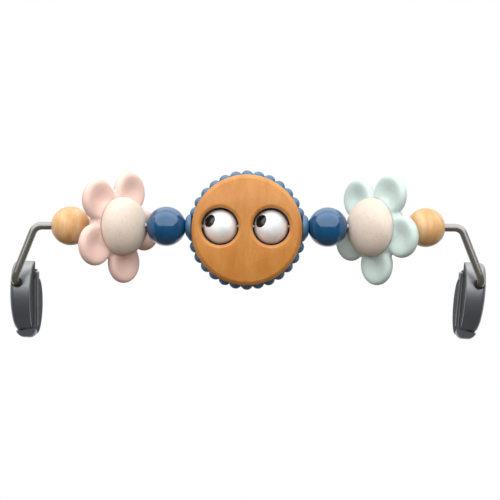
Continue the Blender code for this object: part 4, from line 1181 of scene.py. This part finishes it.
    def execute(self, context):
        sizes = context.scene.toybar_clip
        plastic = moulded_plastic("clip_slate", tuple(sizes.plastic))
        # Painted shade for the clips' inward-facing faces
        painted_shade = matt_pebbled("clip_painted_shade", tuple(sizes.painted_shade))
        # Painted highlight: a paler plastic for the lip's edge strips
        edges = moulded_plastic("clip_painted_highlight", tuple(sizes.edges))
        for name in SIDES:
            place, hole, inwards = self.place(name, sizes)
            body = self.body(name, sizes, hole, inwards)
            jaw = self.jaw(name, sizes)
            for piece, part, node in ((body, "_clip", "_clip_body"), (jaw, "_jaw", "_clip_jaw")):
                settle(piece, place)
                close(piece)
                smooth(piece, radians(30))
                finish(piece, name + part, "clip_plastic", plastic, name + node)
                self.touch_up(piece, place, painted_shade, edges, sizes)
        return {"FINISHED"}


class TOYBAR_OT_hardware(bpy.types.Operator):
    """Finishes the hidden stops, pins and springs in plain steel and the dowels in pale wood"""

    bl_idname = "toybar.hardware"
    bl_label = "Hidden Hardware"

    def execute(self, context):
        steel = drawn_steel("hardware_steel", tuple(context.scene.toybar_clip.steel))
        flower = context.scene.toybar_flower
        birch = bare_wood("dowel_birch", tuple(flower.birch_light), tuple(flower.birch_dark), (0, 0, 0))
        looks = {"_end_stop": steel, "_jaw_pin": steel, "_jaw_spring": steel, "wheel_dowel": birch}
        for name, node in NODES.items():
            for part, material in looks.items():
                if part in name:
                    node.data.materials.clear()
                    node.data.materials.append(material)
        return {"FINISHED"}


class TOYBAR_OT_stage(bpy.types.Operator):
    """Sets the pale floor, the white surround, the wide light above and the camera"""

    bl_idname = "toybar.stage"
    bl_label = "Stage"

    def floor(self, sizes):
        """A round floor of pale paper, white to the eye except where the bar shades it."""
        deselect()
        place = (0, sizes.floor_back, Vector(CAD_BOX[0]).z - sizes.floor_drop)
        bpy.ops.mesh.primitive_circle_add(
            vertices=96, radius=sizes.floor_radius, fill_type="NGON", location=place
        )
        piece = named("studio_floor")
        paper = Recipe("floor_paper")
        grain = paper.noise((400, 400, 400), 3.0)
        tone = paper.ramp(grain, [(0.0, (0.17, 0.17, 0.17)), (1.0, (0.20, 0.20, 0.20))])
        paper.give(tone, 0.9, Specular_IOR_Level=0.1)
        glow = paper.node("ShaderNodeEmission")
        strength = paper.spread(paper.ray("Camera"), sizes.dark_side, 1.0, 0.0, 1.0)
        paper.feed(glow.inputs["Strength"], strength)
        shade = paper.node("ShaderNodeBsdfDiffuse")
        shade.inputs["Color"].default_value = (0.9, 0.9, 0.9, 1)
        pale = paper.blend(0.08, glow.outputs["Emission"], shade.outputs["BSDF"])
        mixed = paper.blend(paper.seen(), paper.shader.outputs["BSDF"], pale)
        paper.feed(paper.tree.nodes["Material Output"].inputs["Surface"], mixed)
        piece.data.materials.append(paper.material)

    def surround(self, sizes):
        """White all round, except that shiny pieces mirror a dark room behind the camera."""
        world = bpy.data.worlds.new("white_surround")
        bpy.context.scene.world = world
        world.use_nodes = True
        air = Nodes(world.node_tree)
        fill = air.tree.nodes["Background"]
        fill.inputs["Color"].default_value = (*sizes.fill_tone, 1)
        fill.inputs["Strength"].default_value = sizes.fill
        split = air.node("ShaderNodeSeparateXYZ")
        air.feed(split.inputs["Vector"], air.node("ShaderNodeTexCoord").outputs["Generated"])
        upwards = air.maths("MULTIPLY_ADD", split.outputs["Z"], 0.6, split.outputs["Y"])
        rearwards = air.spread(upwards, sizes.dark_side, 1.0, -0.2, 0.5)
        white = air.node("ShaderNodeBackground")
        white.inputs["Color"].default_value = (1, 1, 1, 1)
        air.feed(white.inputs["Strength"], air.maths("MAXIMUM", rearwards, air.ray("Camera")))
        mixed = air.blend(air.seen(), fill.outputs["Background"], white.outputs["Background"])
        air.feed(air.tree.nodes["World Output"].inputs["Surface"], mixed)

    def lamp(self, name, power, place, target, size):
        bpy.ops.object.light_add(type="AREA", location=place)
        lamp = bpy.context.object
        lamp.name = name
        lamp.data.shape = "RECTANGLE"
        lamp.data.size = size[0]
        lamp.data.size_y = size[1]
        lamp.data.energy = power
        lamp.visible_camera = False
        lamp.rotation_euler = (Vector(place) - Vector(target)).to_track_quat("Z", "Y").to_euler()

    def execute(self, context):
        sizes = context.scene.toybar_stage
        scene = context.scene
        scene.view_settings.view_transform = "Standard"
        self.floor(sizes)
        self.surround(sizes)
        deselect()
        edges = [BAR_LINE + Vector(place) for place in (CANOPY_FRONT, CANOPY_TOP, CANOPY_BACK)]
        lamps = (("canopy", sizes.canopy), ("rear_canopy", sizes.rear_canopy))
        for (name, power), low, high in zip(lamps, edges, edges[1:]):
            middle = (low + high) / 2
            down = (high - low).cross(ALONG).normalized()
            self.lamp(name, power, middle, middle + down, (CANOPY_WIDTH, (high - low).length))
        place = BAR_LINE + Vector((sizes.camera_x, -sizes.camera_back, -sizes.camera_drop))
        bpy.ops.object.camera_add(location=place)
        camera = bpy.context.object
        camera.name = "front_camera"
        camera.data.lens = sizes.lens
        camera.data.sensor_width = 36.0
        camera.data.shift_x = sizes.camera_shift
        camera.data.clip_start = 0.01
        upright = Matrix.Translation(place) @ Matrix.Rotation(pi / 2, 4, "X")
        camera.matrix_world = upright @ Matrix.Rotation(sizes.camera_roll, 4, "Z")
        scene.camera = camera
        return {"FINISHED"}


class TOYBAR_PT_panel(bpy.types.Panel):
    """Lists a button for each step that builds the toy bar"""

    bl_label = "Toy Bar"
    bl_idname = "TOYBAR_PT_panel"
    bl_space_type = "VIEW_3D"
    bl_region_type = "UI"
    bl_category = "Toy Bar"

    def draw(self, context):
        for operator in OPERATORS:
            self.layout.operator(operator.bl_idname)


OPERATORS = (
    TOYBAR_OT_stage,
    TOYBAR_OT_rod,
    TOYBAR_OT_collars,
    TOYBAR_OT_end_beads,
    TOYBAR_OT_blue_beads,
    TOYBAR_OT_flowers,
    TOYBAR_OT_discs,
    TOYBAR_OT_ring,
    TOYBAR_OT_eyes,
    TOYBAR_OT_clips,
    TOYBAR_OT_hardware,
)
SETTINGS = {
    "toybar_rod": RodSettings,
    "toybar_bead": BeadSettings,
    "toybar_flower": FlowerSettings,
    "toybar_wheel": WheelSettings,
    "toybar_eye": EyeSettings,
    "toybar_clip": ClipSettings,
    "toybar_stage": StageSettings,
}


def register():
    for name, group in SETTINGS.items():
        bpy.utils.register_class(group)
        setattr(bpy.types.Scene, name, PointerProperty(type=group))
    for operator in OPERATORS:
        bpy.utils.register_class(operator)
    bpy.utils.register_class(TOYBAR_PT_panel)


def unregister():
    bpy.utils.unregister_class(TOYBAR_PT_panel)
    for operator in reversed(OPERATORS):
        bpy.utils.unregister_class(operator)
    for name, group in reversed(SETTINGS.items()):
        delattr(bpy.types.Scene, name)
        bpy.utils.unregister_class(group)


def main():
    register()
    bpy.ops.toybar.stage()
    bpy.ops.toybar.rod()
    bpy.ops.toybar.collars()
    bpy.ops.toybar.end_beads()
    bpy.ops.toybar.blue_beads()
    bpy.ops.toybar.flowers()
    bpy.ops.toybar.discs()
    bpy.ops.toybar.ring()
    bpy.ops.toybar.eyes()
    bpy.ops.toybar.clips()
    bpy.ops.toybar.hardware()


if __name__ == "__main__":
    main()
